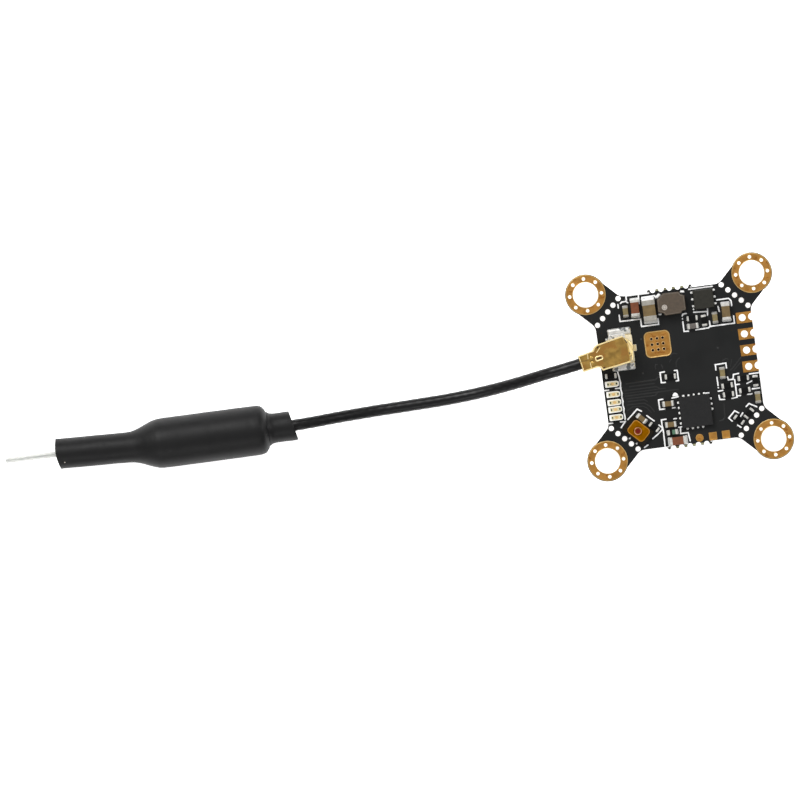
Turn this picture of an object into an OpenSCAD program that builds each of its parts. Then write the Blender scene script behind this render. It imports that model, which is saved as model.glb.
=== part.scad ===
// Small flight controller board with an on-board radio and a plug-in sleeve antenna.
// Millimetres, +Z up. The origin is the centre of the four mounting holes, on the
// underside of their gold rings. +X and +Y run along the rows of holes, the wire pads
// are on the +X edge and the antenna leaves towards -X.

/* [Board] */
// Distance between mounting holes
hole_pitch = 16; // [15.9:0.05:16.1]
// Mounting hole diameter
hole_d = 2.4; // [2.2:0.05:2.6]
// Outer diameter of the gold ring round a mounting hole
ring_d = 3.84; // [3.7:0.02:3.84]
// Diameter of a corner ear
ear_d = 3.94; // [3.9:0.02:4.2]
// Width of the board's middle, along X
body_w = 14.94; // [14.9:0.02:15.1]
// Length of the board's middle, along Y
body_l = 14.8; // [14.7:0.02:15]
// Width of the diagonal arm that carries an ear
arm_w = 3.75; // [3.5:0.05:3.9]
// Radius of the inside corner between arm and body
arm_fillet = 1; // [0.6:0.1:1]
// Thickness over the gold pads
board_t = 1; // [0.9:0.05:1.2]

/* [Break-off tabs] */
// How far the broken tab stands out of the edge
tab_out = 0.28; // [0.1:0.02:0.4]
// Diameter of the perforations
tab_hole_d = 0.54; // [0.4:0.02:0.6]
// Distance between perforations
tab_pitch = 0.8; // [0.7:0.05:0.9]

/* [Wire pads] */
// Number of wire pads on the +X edge
wire_pad_count = 4; // [2:1:4]
// Distance between wire pads
wire_pad_pitch = 1.567; // [1.4:0.01:1.6]
// Width of a wire pad, along Y
wire_pad_w = 1.05; // [0.9:0.05:1.15]
// Diameter of the hole in a wire pad
wire_hole_d = 0.66; // [0.5:0.02:0.7]

/* [Button] */
// Length of the button's base
button_l = 2.6; // [2.4:0.1:2.8]
// Width of the button's base
button_w = 1.8; // [1.7:0.05:1.8]
// Diameter of the moving key
key_d = 0.76; // [0.6:0.02:0.78]
// Travel of the key
key_travel = 0.15; // [0.08:0.01:0.18]

/* [Antenna socket] */
// Outer diameter of the socket's barrel
barrel_d = 2; // [1.9:0.05:2]
// Running clearance between the barrel and the plug, on the radius
plug_gap = 0.03; // [0.02:0.01:0.06]
// Height of the mated plug above the board
plug_h = 2.5; // [2.4:0.05:2.7]
// Direction of the cable at the plug, turned from -X
plug_angle = 12; // [0:1:20]

/* [Antenna] */
// Diameter of the coaxial cable
cable_d = 1.13; // [1:0.01:1.13]
// Outer diameter of the heat-shrink over the tube
sleeve_d = 4.8; // [4.6:0.1:5]
// Outer diameter of the heat-shrink at its mouth
neck_d = 2.8; // [2.6:0.1:3]
// Outer diameter of the heat-shrink past the tube
tail_d = 2.93; // [2.7:0.01:3]
// Wall of the heat-shrink
sleeve_wall = 0.4; // [0.3:0.05:0.5]
// Diameter of the clear insulation round the centre wire
core_d = 0.66; // [0.6:0.02:0.7]
// Diameter of the centre wire
wire_d = 0.24; // [0.2:0.02:0.3]
// Bare length of insulated wire past the heat-shrink
wire_out = 4.8; // [3:0.1:6]

/* [Hidden] */
$fn = 48;
eps = 0.01;

// Chip cases: length, width, height
CASE_0402R = [1, 0.5, 0.35];
CASE_0402 = [1, 0.5, 0.5];
CASE_0603 = [1.6, 0.8, 0.8];
CASE_0805 = [2, 1.25, 1.25];
CASE_LED = [1.28, 0.58, 0.45];

// Places on the board's top: x, y, turn, case
CAPACITORS = [
    [-4.43, 5.92, 90, CASE_0402],
    [-3.49, 6.15, 90, CASE_0603],
    [-2.17, 5.72, 90, CASE_0805],
    [5.08, 4.65, 90, CASE_0603],
    [3.97, 4.22, 90, CASE_0402],
    [1.77, 3.7, 0, CASE_0402],
    [-4.25, -4.42, -45, CASE_0402],
    [-1.56, -3.35, 0, CASE_0402],
    [-1.56, -5.33, 0, CASE_0402],
    [-1.08, -6.93, 0, CASE_0603],
    [3.97, -1.12, 90, CASE_0402],
    [7.02, -3.87, 90, CASE_0402],
];
RESISTORS = [
    [1.8, 4.45, 0],
    [2.89, 4.09, 90],
    [-6.63, 0, 0],
    [-1, -0.8, 0],
    [-3.18, -5.38, -45],
    [4.28, -2.37, 0],
    [4.28, -3.22, 0],
    [5.9, -1.87, 0],
    [5.88, -3.03, 0],
    [7, -2.28, 90],
    [4.97, -5.76, -45],
    [5.98, -5.28, 45],
];
LED_X = -6.63;
LED_YS = [-0.78, -1.77, -2.55, -3.23, -3.99];

CAPACITOR_NAMES = [for (i = [1 : len(CAPACITORS)]) str("capacitor_", i)];
RESISTOR_NAMES = [for (i = [1 : len(RESISTORS)]) str("resistor_", i)];
LED_NAMES = [for (i = [1 : len(LED_YS)]) str("led_", i)];

// Board
plating = 0.05;
pad_proud = 0.02;
pad_depth = 0.05;
hole_at = hole_pitch / 2;
ring_via_d = 0.3;
ring_via_r = 1.53;
ring_via_count = 8;
corner_via_at = 6.11;
corner_via_d = 0.48;
corner_via_step = 0.57;
tab_half = 2;
wire_pad_x = 5.97;
wire_pad_top_y = 3.87;
wire_hole_x = 6.55;
edge_notch_r = 0.35;
thermal_at = [-1.79, 2.45];
thermal_w = 2.5;
thermal_via_pitch = 0.54;
mask_z = board_t - pad_proud;

// Button
button_at = [-4.76, -5.56];
button_h = 0.45;
film_t = 0.08;
film_z = board_t + button_h;
key_flange_t = 0.06;

// Socket and plug, measured from the board's top
socket_at = [-5.29, 2.4];
barrel_z = board_t + 0.15;
barrel_h = 1.1;
barrel_wall = 0.1;
base_h = 0.35;
pin_d = 0.5;
plug_top = board_t + plug_h;
plug_plate = 0.2;
cup_r = barrel_d / 2 + plug_gap;
cup_z = board_t + 0.5;
plug_half = 1.3;
crimp_half = 0.84;
crimp_start = 2.72;
crimp_end = 4.16;
cable_z = board_t + 1.78;
cable_start = 2.85;

// Underside
can_box = [-3.9, -3.5, 5.3, 4.3];
can_wall = 0.2;
rest_z = -1.6;

// Antenna, with s the distance along it from the heat-shrink's mouth
mouth_x = -37.3;
axis_y = -0.67;
axis_z = rest_z + sleeve_d / 2;
s_shoulder = 2.2;
s_main = 3;
s_taper = 13.1;
s_tail = 15.4;
s_end = 22.9;
tube_d = sleeve_d - 2 * sleeve_wall;
tube_s = [3.45, 12.65];
tube_wall = 0.25;
core_s = 13.2;

// Route of the cable's centre, from the plug's crimp to the end of the brass tube
CABLE_ROUTE = [
    [-8.08, 1.81, 2.78],
    [-9.4, 1.53, 2.78],
    [-10.4, 1.36, 2.75],
    [-11.4, 1.2, 2.62],
    [-12.6, 1.02, 2.28],
    [-14, 0.79, 1.68],
    [-15.4, 0.56, 0.98],
    [-16.8, 0.36, 0.28],
    [-18.2, 0.19, -0.32],
    [-19.7, 0.04, -0.75],
    [-21.3, -0.08, -0.98],
    [-23, -0.17, -1.03],
    [-25, -0.22, -1.03],
    [-27, -0.27, -1.03],
    [-29, -0.31, -0.98],
    [-30.6, -0.36, -0.78],
    [-32.2, -0.42, -0.38],
    [-33.8, -0.5, 0.12],
    [-35.4, -0.59, 0.52],
    [-37, -0.65, 0.76],
    [-38.6, -0.67, 0.8],
    [-40.5, -0.67, 0.8],
    [-43, -0.67, 0.8],
    [-45.5, -0.67, 0.8],
    [-48, -0.67, 0.8],
    [-50.3, -0.67, 0.8],
];
cable_sides = 8;

// A rectangle with round corners, about the origin
module rounded_rect(w, l, r) {
    square([w - 2 * r, l], center = true);
    square([w, l - 2 * r], center = true);
    for (x = [-1, 1], y = [-1, 1])
        translate([x * (w / 2 - r), y * (l / 2 - r)]) circle(r = r);
}

module plate(z0, z1) {
    translate([0, 0, z0]) linear_extrude(z1 - z0) children();
}

module at_each_hole() {
    for (x = [-1, 1], y = [-1, 1])
        translate([x * hole_at, y * hole_at, 0]) children();
}

module on_ring_vias() {
    for (i = [0 : ring_via_count - 1])
        rotate(i * 360 / ring_via_count) translate([ring_via_r, 0, 0]) children();
}

// Five vias across each arm
module at_corner_vias() {
    for (x = [0, 1], y = [0, 1])
        mirror([x, 0, 0]) mirror([0, y, 0])
            for (i = [-2 : 2])
                translate([corner_via_at + i * corner_via_step, corner_via_at - i * corner_via_step, 0])
                    children();
}

module at_wire_pads() {
    for (i = [0 : wire_pad_count - 1])
        translate([0, wire_pad_top_y - i * wire_pad_pitch, 0]) children();
}

module at_thermal_vias() {
    for (x = [-1 : 1], y = [-1 : 1])
        translate([thermal_at[0] + x * thermal_via_pitch, thermal_at[1] + y * thermal_via_pitch, 0])
            children();
}

// Inside corner between the arm's edge and the body's edge at y = edge
module arm_corner(edge) {
    corner = [edge - arm_w / sqrt(2), edge];
    reach = arm_fillet * tan(22.5);
    side = reach / sqrt(2);
    difference() {
        polygon([
            [corner[0] - reach, edge - 0.3],
            [corner[0] + 0.3, edge - 0.3],
            [corner[0] + side + 0.2, edge + side - 0.2],
            [corner[0] + side, edge + side],
            [corner[0] - reach, edge + arm_fillet],
            [corner[0] - reach, edge],
        ]);
        translate([corner[0] - reach, edge + arm_fillet]) circle(r = arm_fillet, $fn = 96);
    }
}

module quarter_outline() {
    translate([-1, -1]) square([body_w / 2 + 1, body_l / 2 + 1]);
    translate([hole_at, hole_at]) circle(d = ear_d, $fn = 96);
    rotate(45) translate([4, -arm_w / 2]) square([hole_at * sqrt(2) - 4, arm_w]);
    arm_corner(body_l / 2);
    mirror([1, -1]) arm_corner(body_w / 2);
}

// A snapped-off tab: half a row of perforations with teeth between them
module broken_tab() {
    difference() {
        translate([-tab_half, body_l / 2 - 0.5]) square([2 * tab_half, 0.5 + tab_out]);
        for (i = [-2 : 2])
            translate([i * tab_pitch, body_l / 2 + 0.22]) circle(d = tab_hole_d);
    }
}

module board_outline() {
    difference() {
        union() {
            for (x = [0, 1], y = [0, 1])
                mirror([x, 0]) mirror([0, y]) quarter_outline();
            broken_tab();
            mirror([0, 1]) broken_tab();
        }
        for (y = [-1, 1], i = [-2 : 2])
            translate([i * tab_pitch, y * (body_l / 2 + 0.22)]) circle(d = tab_hole_d);
    }
}

// A flanged copper barrel before it is bored
module ring_blank() {
    cylinder(d = hole_d + 2 * plating, h = board_t);
    cylinder(d = ring_d, h = pad_depth);
    translate([0, 0, board_t - pad_depth]) cylinder(d = ring_d, h = pad_depth);
}

// One wire pad before it is bored: a flat on each face, a barrel and a lined edge notch
module wire_pad_blank() {
    x_edge = body_w / 2;
    for (z = [0, board_t - pad_depth])
        translate([wire_pad_x, -wire_pad_w / 2, z]) cube([x_edge - wire_pad_x, wire_pad_w, pad_depth]);
    translate([wire_hole_x, 0, 0]) cylinder(d = wire_hole_d + 2 * plating, h = board_t);
    intersection() {
        translate([x_edge, 0, 0]) cylinder(r = edge_notch_r + plating, h = board_t);
        translate([x_edge - 1, -1, 0]) cube([1, 2, board_t]);
    }
}

module wire_pad_bores() {
    translate([wire_hole_x, 0, -1]) cylinder(d = wire_hole_d, h = board_t + 2);
    translate([body_w / 2, 0, -1]) cylinder(r = edge_notch_r, h = board_t + 2);
}

module thermal_shape() {
    translate(thermal_at) rounded_rect(thermal_w, thermal_w, 0.5);
}

module test_pad_shapes() {
    translate([1, -6.98]) circle(d = 0.75);
    for (x = [2.29, 3.54])
        translate([x, -6.98]) square(0.76, center = true);
}

module pcb() {
    color([0.13, 0.13, 0.14])
        difference() {
            plate(pad_proud, mask_z) board_outline();
            at_each_hole() ring_blank();
            at_each_hole() on_ring_vias() translate([0, 0, -1]) cylinder(d = ring_via_d, h = board_t + 2);
            at_corner_vias() translate([0, 0, -1]) cylinder(d = corner_via_d + 2 * plating, h = board_t + 2);
            at_wire_pads() wire_pad_blank();
            at_wire_pads() wire_pad_bores();
            plate(board_t - pad_depth, board_t) thermal_shape();
            plate(board_t - pad_depth, board_t) test_pad_shapes();
            at_thermal_vias() translate([0, 0, -1]) cylinder(d = 0.18, h = board_t + 2);
        }
}

module mounting_rings() {
    color([0.72, 0.52, 0.22])
        at_each_hole() difference() {
            ring_blank();
            translate([0, 0, -1]) cylinder(d = hole_d, h = board_t + 2);
            on_ring_vias() translate([0, 0, -1]) cylinder(d = ring_via_d, h = board_t + 2);
        }
}

module corner_vias() {
    color([0.45, 0.36, 0.24])
        at_corner_vias() difference() {
            translate([0, 0, pad_proud]) cylinder(d = corner_via_d + 2 * plating, h = mask_z - pad_proud);
            translate([0, 0, -1]) cylinder(d = corner_via_d, h = board_t + 2);
        }
}

module wire_pads() {
    color([0.72, 0.52, 0.22])
        at_wire_pads() difference() {
            wire_pad_blank();
            wire_pad_bores();
        }
}

module thermal_pad() {
    color([0.72, 0.52, 0.22])
        difference() {
            plate(board_t - pad_depth, board_t) thermal_shape();
            at_thermal_vias() translate([0, 0, -1]) cylinder(d = 0.18, h = board_t + 2);
        }
}

module test_pads() {
    color([0.72, 0.52, 0.22]) plate(board_t - pad_depth, board_t) test_pad_shapes();
}

// A chip with its two end caps
module chip(size) {
    cap = size[0] * 0.2;
    inset = size[2] * 0.04;
    translate([-size[0] / 2 + cap / 2, -size[1] / 2 + inset, inset])
        cube([size[0] - cap, size[1] - 2 * inset, size[2] - 2 * inset]);
    for (x = [-size[0] / 2, size[0] / 2 - cap])
        translate([x, -size[1] / 2, 0]) cube([cap, size[1], size[2]]);
}

module place_on_top(place) {
    translate([place[0], place[1], mask_z]) rotate(place[2]) children();
}

module capacitor(i) {
    place = CAPACITORS[i];
    color([0.55, 0.48, 0.36]) place_on_top(place) chip(place[3]);
}

module resistor(i) {
    color([0.1, 0.1, 0.1]) place_on_top(RESISTORS[i]) chip(CASE_0402R);
}

module led(i) {
    color([0.93, 0.87, 0.7]) place_on_top([LED_X, LED_YS[i], 0]) chip(CASE_LED);
}

module diode() {
    color([0.2, 0.35, 0.25]) place_on_top([-1.55, -6.1, 0]) chip(CASE_0402);
}

// Moulded choke with one large and three small cut corners
module power_inductor() {
    color([0.37, 0.32, 0.28])
        plate(mask_z, mask_z + 1.2)
            polygon([
                [-1.45, 5.3], [-1.2, 5.02], [1.05, 5.02], [1.37, 5.3], [1.37, 6.9],
                [1.1, 7.13], [-0.9, 7.13], [-1.45, 6.6]
            ]);
}

module voltage_regulator() {
    color([0.2, 0.2, 0.2]) {
        plate(mask_z + 0.02, mask_z + 0.75) translate([3.08, 6.15]) square([1.92, 1.84], center = true);
        for (x = [2.12, 4.04], y = [5.55, 6.2, 6.85])
            plate(mask_z, mask_z + 0.2) translate([x, y]) square([0.2, 0.28], center = true);
    }
}

module microcontroller() {
    at = [0.98, -4.38];
    color([0.16, 0.16, 0.17]) {
        plate(mask_z + 0.02, mask_z + 0.55) translate(at) square(3, center = true);
        for (turn = [0, 90, 180, 270], i = [-2 : 2])
            plate(mask_z, mask_z + 0.15)
                translate(at) rotate(turn) translate([1.5, i * 0.5]) square([0.1, 0.24], center = true);
    }
}

// Button: a base with a round well, a snap dome, a key and a film that holds it in
module in_button() {
    translate([button_at[0], button_at[1], 0]) rotate(-45) children();
}

module button_base() {
    color([0.1, 0.09, 0.08])
        in_button() difference() {
            plate(mask_z, film_z) rounded_rect(button_l, button_w, 0.15);
            translate([0, 0, board_t + 0.08]) cylinder(r = 0.62, h = 1);
        }
}

module button_dome() {
    rise = 0.2;
    sphere_r = (0.56 * 0.56 + rise * rise) / (2 * rise);
    foot = board_t + 0.08;
    color([0.8, 0.8, 0.8])
        in_button() intersection() {
            difference() {
                translate([0, 0, foot + rise - sphere_r]) sphere(r = sphere_r);
                translate([0, 0, foot + rise - sphere_r]) sphere(r = sphere_r - 0.05);
            }
            translate([0, 0, foot]) cylinder(r = 0.6, h = 1);
        }
}

module button_key() {
    color([0.55, 0.05, 0.04])
        in_button() {
            translate([0, 0, film_z - key_flange_t - 0.01]) cylinder(r = 0.52, h = key_flange_t);
            translate([0, 0, film_z - key_flange_t - 0.01]) cylinder(d = key_d, h = 0.32);
        }
}

module button_film() {
    color([0.62, 0.4, 0.05])
        in_button() difference() {
            plate(film_z, film_z + film_t) rounded_rect(1.95, 1.5, 0.35);
            translate([0, 0, film_z - 1]) cylinder(r = 0.42, h = 2);
        }
}

// Antenna socket
module at_socket() {
    translate([socket_at[0], socket_at[1], 0]) children();
}

module socket_shell() {
    color([0.85, 0.72, 0.42])
        at_socket() {
            difference() {
                translate([0, 0, barrel_z]) cylinder(d = barrel_d, h = barrel_h);
                cylinder(r = barrel_d / 2 - barrel_wall, h = board_t + 3);
            }
            // Two solder lands, bent in under the barrel
            for (side = [-1, 1])
                translate([-1.1, side * 1.67 - 0.35, mask_z]) cube([2.2, 0.7, 0.17]);
        }
}

module socket_insulator() {
    color([0.9, 0.86, 0.74])
        at_socket() difference() {
            translate([-1.15, -1.3, board_t + 0.02]) cube([2.3, 2.6, base_h - 0.02]);
            difference() {
                translate([0, 0, barrel_z]) cylinder(d = barrel_d, h = 1);
                cylinder(r = barrel_d / 2 - barrel_wall, h = board_t + 3);
            }
            for (side = [-1, 1])
                translate([-1.1, side * 1.67 - 0.35, mask_z]) cube([2.2, 0.7, 0.17]);
            cylinder(d = pin_d, h = board_t + 1);
            translate([0, -0.28, 0]) cube([2, 0.56, board_t + 0.12]);
        }
}

module socket_pin() {
    color([0.85, 0.72, 0.42])
        at_socket() {
            translate([0, 0, board_t + 0.12]) cylinder(d = pin_d, h = 0.98);
            translate([0, -0.28, mask_z]) cube([1.42, 0.56, 0.14]);
        }
}

// Plug, with +X along the cable
module in_plug() {
    at_socket() rotate(180 + plug_angle) children();
}

module plug_outline() {
    polygon([
        [-1.2, -0.75], [-0.45, -plug_half], [2.35, -plug_half], [crimp_start, -crimp_half],
        [crimp_start, crimp_half], [2.35, plug_half], [-0.45, plug_half], [-1.2, 0.75]
    ]);
}

module plug_inside() {
    polygon([
        [-1.3, -0.9], [-0.4, -plug_half + 0.2], [2.2, -plug_half + 0.2], [2.55, -crimp_half + 0.2],
        [2.55, crimp_half - 0.2], [2.2, plug_half - 0.2], [-0.4, plug_half - 0.2], [-1.3, 0.9]
    ]);
}

module plug_shell() {
    wall_z = board_t + 0.95;
    roof_z = plug_top - plug_plate;
    color([0.78, 0.62, 0.28])
        in_plug() difference() {
            union() {
                plate(roof_z, plug_top) plug_outline();
                plate(wall_z, roof_z + eps) difference() {
                    plug_outline();
                    plug_inside();
                }
                translate([0, 0, cup_z]) cylinder(r = cup_r + 0.2, h = roof_z - cup_z + eps);
                translate([crimp_start - 0.2, 0, cable_z]) rotate([90, 0, 90])
                    linear_extrude(crimp_end - crimp_start + 0.2)
                        rounded_rect(2 * crimp_half, 1.44, 0.4);
            }
            translate([0, 0, cup_z - 1]) cylinder(r = cup_r, h = roof_z - cup_z + 1);
            translate([cable_start - 0.5, 0, cable_z]) rotate([0, 90, 0])
                cylinder(d = cable_d + 0.02, h = 3);
        }
}

module plug_insulator() {
    low = board_t + 1.32;
    color([0.92, 0.9, 0.85])
        at_socket() difference() {
            translate([0, 0, low]) cylinder(r = barrel_d / 2, h = plug_top - plug_plate - plug_gap - low);
            cylinder(r = 0.36, h = 10);
        }
}

module plug_contact() {
    low = board_t + 0.55;
    color([0.85, 0.72, 0.42])
        at_socket() difference() {
            translate([0, 0, low]) cylinder(r = 0.36, h = plug_top - plug_plate - plug_gap - low);
            translate([0, 0, low - 1]) cylinder(r = pin_d / 2 + 0.02, h = 1.6);
        }
}

// Underside
module shield_can() {
    mid = [(can_box[0] + can_box[2]) / 2, (can_box[1] + can_box[3]) / 2];
    size = [can_box[2] - can_box[0], can_box[3] - can_box[1]];
    color([0.75, 0.75, 0.76])
        translate([mid[0], mid[1], 0]) difference() {
            plate(rest_z, pad_proud) rounded_rect(size[0], size[1], 0.5);
            plate(rest_z + can_wall, 1) rounded_rect(size[0] - 2 * can_wall, size[1] - 2 * can_wall, 0.3);
            for (x = [-1.5 : 1.5], y = [-1 : 1])
                translate([x * 2, y * 2, rest_z - 1]) cylinder(d = 0.7, h = 1.5);
        }
}

// A part under the board: x, y, width, length, height
module under_chip(x, y, w, l, h) {
    plate(pad_proud - h, pad_proud) translate([x, y]) square([w, l], center = true);
}

module radio_chip() {
    color([0.14, 0.14, 0.15]) under_chip(2.3, 0.3, 5, 5, 0.85);
}

module power_amplifier() {
    color([0.14, 0.14, 0.15]) under_chip(thermal_at[0], thermal_at[1], 3, 3, 0.85);
}

module crystal() {
    color([0.8, 0.78, 0.7]) under_chip(-1.9, -1.5, 2, 1.6, 0.5);
}

module motion_sensor() {
    color([0.14, 0.14, 0.15]) under_chip(1.2, -5.4, 3, 2.5, 0.83);
}

// Antenna: children are drawn with +Z along the antenna from the heat-shrink's mouth
module along_antenna() {
    translate([mouth_x, axis_y, axis_z]) rotate([0, -90, 0]) children();
}

// The heat-shrink's wall is drawn between two of these outlines
function sleeve_outline(inset) = [
    [neck_d / 2 - inset, 0],
    [neck_d / 2 - inset, s_shoulder + inset],
    [sleeve_d / 2 - inset, s_main + inset],
    [sleeve_d / 2 - inset, s_taper - inset],
    [tail_d / 2 - inset, s_tail - inset],
    [tail_d / 2 - inset, s_end],
];

module antenna_sleeve() {
    inner = sleeve_outline(sleeve_wall);
    color([0.12, 0.12, 0.12])
        along_antenna() rotate_extrude($fn = 64)
            polygon(concat(sleeve_outline(0), [for (i = [len(inner) - 1 : -1 : 0]) inner[i]]));
}

module sleeve_adhesive() {
    tail_r = tail_d / 2 - sleeve_wall;
    color([0.2, 0.18, 0.16])
        along_antenna() difference() {
            union() {
                cylinder(r = neck_d / 2 - sleeve_wall, h = s_shoulder + sleeve_wall);
                translate([0, 0, s_tail]) cylinder(r = tail_r, h = s_end - s_tail);
            }
            translate([0, 0, -1]) cylinder(d = cable_d + 0.02, h = s_shoulder + 3);
            translate([0, 0, core_s]) cylinder(d = core_d, h = s_end);
        }
}

module ground_tube() {
    color([0.75, 0.6, 0.3])
        along_antenna() difference() {
            translate([0, 0, tube_s[0]]) cylinder(d = tube_d, h = tube_s[1] - tube_s[0]);
            translate([0, 0, tube_s[0] - 1])
                cylinder(d = tube_d - 2 * tube_wall, h = tube_s[1] - tube_s[0] + 1 - tube_wall);
            cylinder(d = cable_d + 0.02, h = 20);
        }
}

module antenna_insulation() {
    color([0.93, 0.93, 0.9])
        along_antenna() translate([0, 0, core_s]) difference() {
            cylinder(d = core_d, h = s_end + wire_out - core_s);
            translate([0, 0, -1]) cylinder(d = wire_d, h = s_end + wire_out);
        }
}

module antenna_wire() {
    color([0.8, 0.8, 0.8])
        along_antenna() translate([0, 0, core_s]) cylinder(d = wire_d, h = s_end + wire_out - core_s + 0.08);
}

// A tube swept along the route, one ring of points at each route point
function unit(v) = v / norm(v);
function heading(path, i) =
    unit(path[min(i + 1, len(path) - 1)] - path[max(i - 1, 0)]);
function ring(path, i, r, sides) =
    let (
        along = heading(path, i),
        across = unit(cross([0, 0, 1], along)),
        up = cross(along, across)
    )
    [for (k = [0 : sides - 1])
        path[i] + r * (cos(k * 360 / sides) * across + sin(k * 360 / sides) * up)];

module swept_tube(path, r, sides) {
    rings = len(path);
    points = [for (i = [0 : rings - 1]) each ring(path, i, r, sides)];
    walls = [
        for (i = [0 : rings - 2], k = [0 : sides - 1])
            let (next = (k + 1) % sides)
            each [
                [i * sides + k, i * sides + next, (i + 1) * sides + next],
                [i * sides + k, (i + 1) * sides + next, (i + 1) * sides + k]
            ]
    ];
    start = [for (k = [0 : sides - 1]) sides - 1 - k];
    end = [for (k = [0 : sides - 1]) (rings - 1) * sides + k];
    polyhedron(points, concat(walls, [start, end]));
}

module antenna_cable() {
    color([0.08, 0.08, 0.08]) swept_tube(CABLE_ROUTE, cable_d / 2, cable_sides);
}

pcb();
mounting_rings();
corner_vias();
wire_pads();
thermal_pad();
test_pads();
socket_shell();
socket_insulator();
socket_pin();
power_inductor();
voltage_regulator();
microcontroller();
diode();
for (i = [0 : len(CAPACITORS) - 1])
    capacitor(i);
for (i = [0 : len(RESISTORS) - 1])
    resistor(i);
for (i = [0 : len(LED_YS) - 1])
    led(i);
button_base();
button_dome();
button_key();
button_film();
shield_can();
radio_chip();
power_amplifier();
crystal();
motion_sensor();
plug_shell();
plug_insulator();
plug_contact();
antenna_cable();
antenna_sleeve();
sleeve_adhesive();
ground_tube();
antenna_insulation();
antenna_wire();
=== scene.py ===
import math
import random

import bmesh
import bpy
from mathutils import Matrix, Vector, noise


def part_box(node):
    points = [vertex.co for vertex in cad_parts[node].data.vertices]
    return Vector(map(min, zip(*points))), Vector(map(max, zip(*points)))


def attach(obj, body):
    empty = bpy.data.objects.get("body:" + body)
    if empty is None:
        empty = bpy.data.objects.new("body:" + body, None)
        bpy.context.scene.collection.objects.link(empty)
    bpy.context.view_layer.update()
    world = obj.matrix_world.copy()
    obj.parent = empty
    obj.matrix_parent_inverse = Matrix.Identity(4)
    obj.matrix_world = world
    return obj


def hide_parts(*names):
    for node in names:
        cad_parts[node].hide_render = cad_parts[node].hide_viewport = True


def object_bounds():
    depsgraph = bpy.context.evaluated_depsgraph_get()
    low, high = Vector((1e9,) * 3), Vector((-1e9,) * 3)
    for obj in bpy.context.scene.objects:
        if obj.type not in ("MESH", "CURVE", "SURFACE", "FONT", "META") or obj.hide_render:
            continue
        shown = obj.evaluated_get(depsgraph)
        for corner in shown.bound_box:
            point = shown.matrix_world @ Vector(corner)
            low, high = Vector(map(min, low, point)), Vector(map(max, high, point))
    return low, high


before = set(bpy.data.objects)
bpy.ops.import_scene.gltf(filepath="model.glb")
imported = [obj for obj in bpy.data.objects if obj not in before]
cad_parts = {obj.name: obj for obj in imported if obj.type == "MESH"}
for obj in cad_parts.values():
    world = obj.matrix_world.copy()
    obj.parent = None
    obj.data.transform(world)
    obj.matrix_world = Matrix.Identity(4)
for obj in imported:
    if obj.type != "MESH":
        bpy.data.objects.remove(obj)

CAD_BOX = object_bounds()
MM = 0.001
random.seed(7)


def heights(node):
    """The lowest and the highest Z of a CAD node, in millimetres."""
    return [corner[2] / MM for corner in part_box(node)]


UNDER_Z, MASK_Z = heights("pcb")
PAD_Z = heights("mounting_rings")[1]
FLOOR_Z = CAD_BOX[0][2] / MM
# Solder and print start a little inside the board
FOOT_Z = MASK_Z - 0.01


# ---- mesh helpers

MERGE_DISTANCE = 1e-5
SHARP_ANGLE = math.radians(38)
# Caps of a skin that stays open at both ends
OPEN = (False, False)


def link_object(name, data):
    thing = bpy.data.objects.new(name, data)
    bpy.context.collection.objects.link(thing)
    return thing


def new_piece(name, bm, materials, slot, *nodes, body="board"):
    """Turns a bmesh in millimetres into a finished piece that rides on a body in place of CAD nodes."""
    bmesh.ops.remove_doubles(bm, verts=bm.verts, dist=MERGE_DISTANCE)
    bmesh.ops.recalc_face_normals(bm, faces=bm.faces)
    bmesh.ops.scale(bm, vec=(MM, MM, MM), verts=bm.verts)
    mesh = bpy.data.meshes.new(name)
    bm.to_mesh(mesh)
    bm.free()
    for material in materials:
        mesh.materials.append(material)
    mesh.shade_smooth()
    mesh.set_sharp_from_angle(angle=SHARP_ANGLE)
    for face in mesh.polygons:
        face.use_smooth = len(face.vertices) <= 4
    piece = link_object(name, mesh)
    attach(piece, body)
    if nodes:
        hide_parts(*nodes)
    return piece


def loft(bm, rings, mat=0, caps=(True, True)):
    """Joins rings of equally many points into a skin, closed at the ends."""
    rows = [[bm.verts.new(p) for p in ring] for ring in rings]
    count = len(rows[0])
    for low, high in zip(rows, rows[1:]):
        for k in range(count):
            n = (k + 1) % count
            bm.faces.new((low[k], low[n], high[n], high[k])).material_index = mat
    if caps[0]:
        bm.faces.new(list(reversed(rows[0]))).material_index = mat
    if caps[1]:
        bm.faces.new(rows[-1]).material_index = mat


def inset(outline, d):
    """Moves a counter-clockwise outline inwards by d, with mitred corners."""
    out = []
    count = len(outline)
    for i in range(count):
        here = Vector(outline[i])
        before = (here - Vector(outline[i - 1])).normalized()
        after = (Vector(outline[(i + 1) % count]) - here).normalized()
        n1, n2 = Vector((-before.y, before.x)), Vector((-after.y, after.x))
        m = (n1 + n2).normalized()
        out.append(tuple(here + m * (d / max(0.3, m.dot(n1)))))
    return out


def rounded_rect(w, l, r, steps=4):
    """Counter-clockwise outline of a rectangle with round corners."""
    points = []
    for cx, cy, start in ((1, 1, 0), (-1, 1, 90), (-1, -1, 180), (1, -1, 270)):
        for k in range(steps + 1):
            a = math.radians(start + 90 * k / steps)
            points.append((cx * (w / 2 - r) + r * math.cos(a), cy * (l / 2 - r) + r * math.sin(a)))
    return points


def circle(r, sides, x=0, y=0):
    turn = 2 * math.pi / sides
    return [(x + r * math.cos(k * turn), y + r * math.sin(k * turn)) for k in range(sides)]


def moved(points, dx, dy):
    return [(x + dx, y + dy) for x, y in points]


def turned(points, x, y, degrees):
    a = math.radians(degrees)
    c, s = math.cos(a), math.sin(a)
    return [(x + px * c - py * s, y + px * s + py * c) for px, py in points]


def level(outline, z):
    return [(x, y, z) for x, y in outline]


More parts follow.
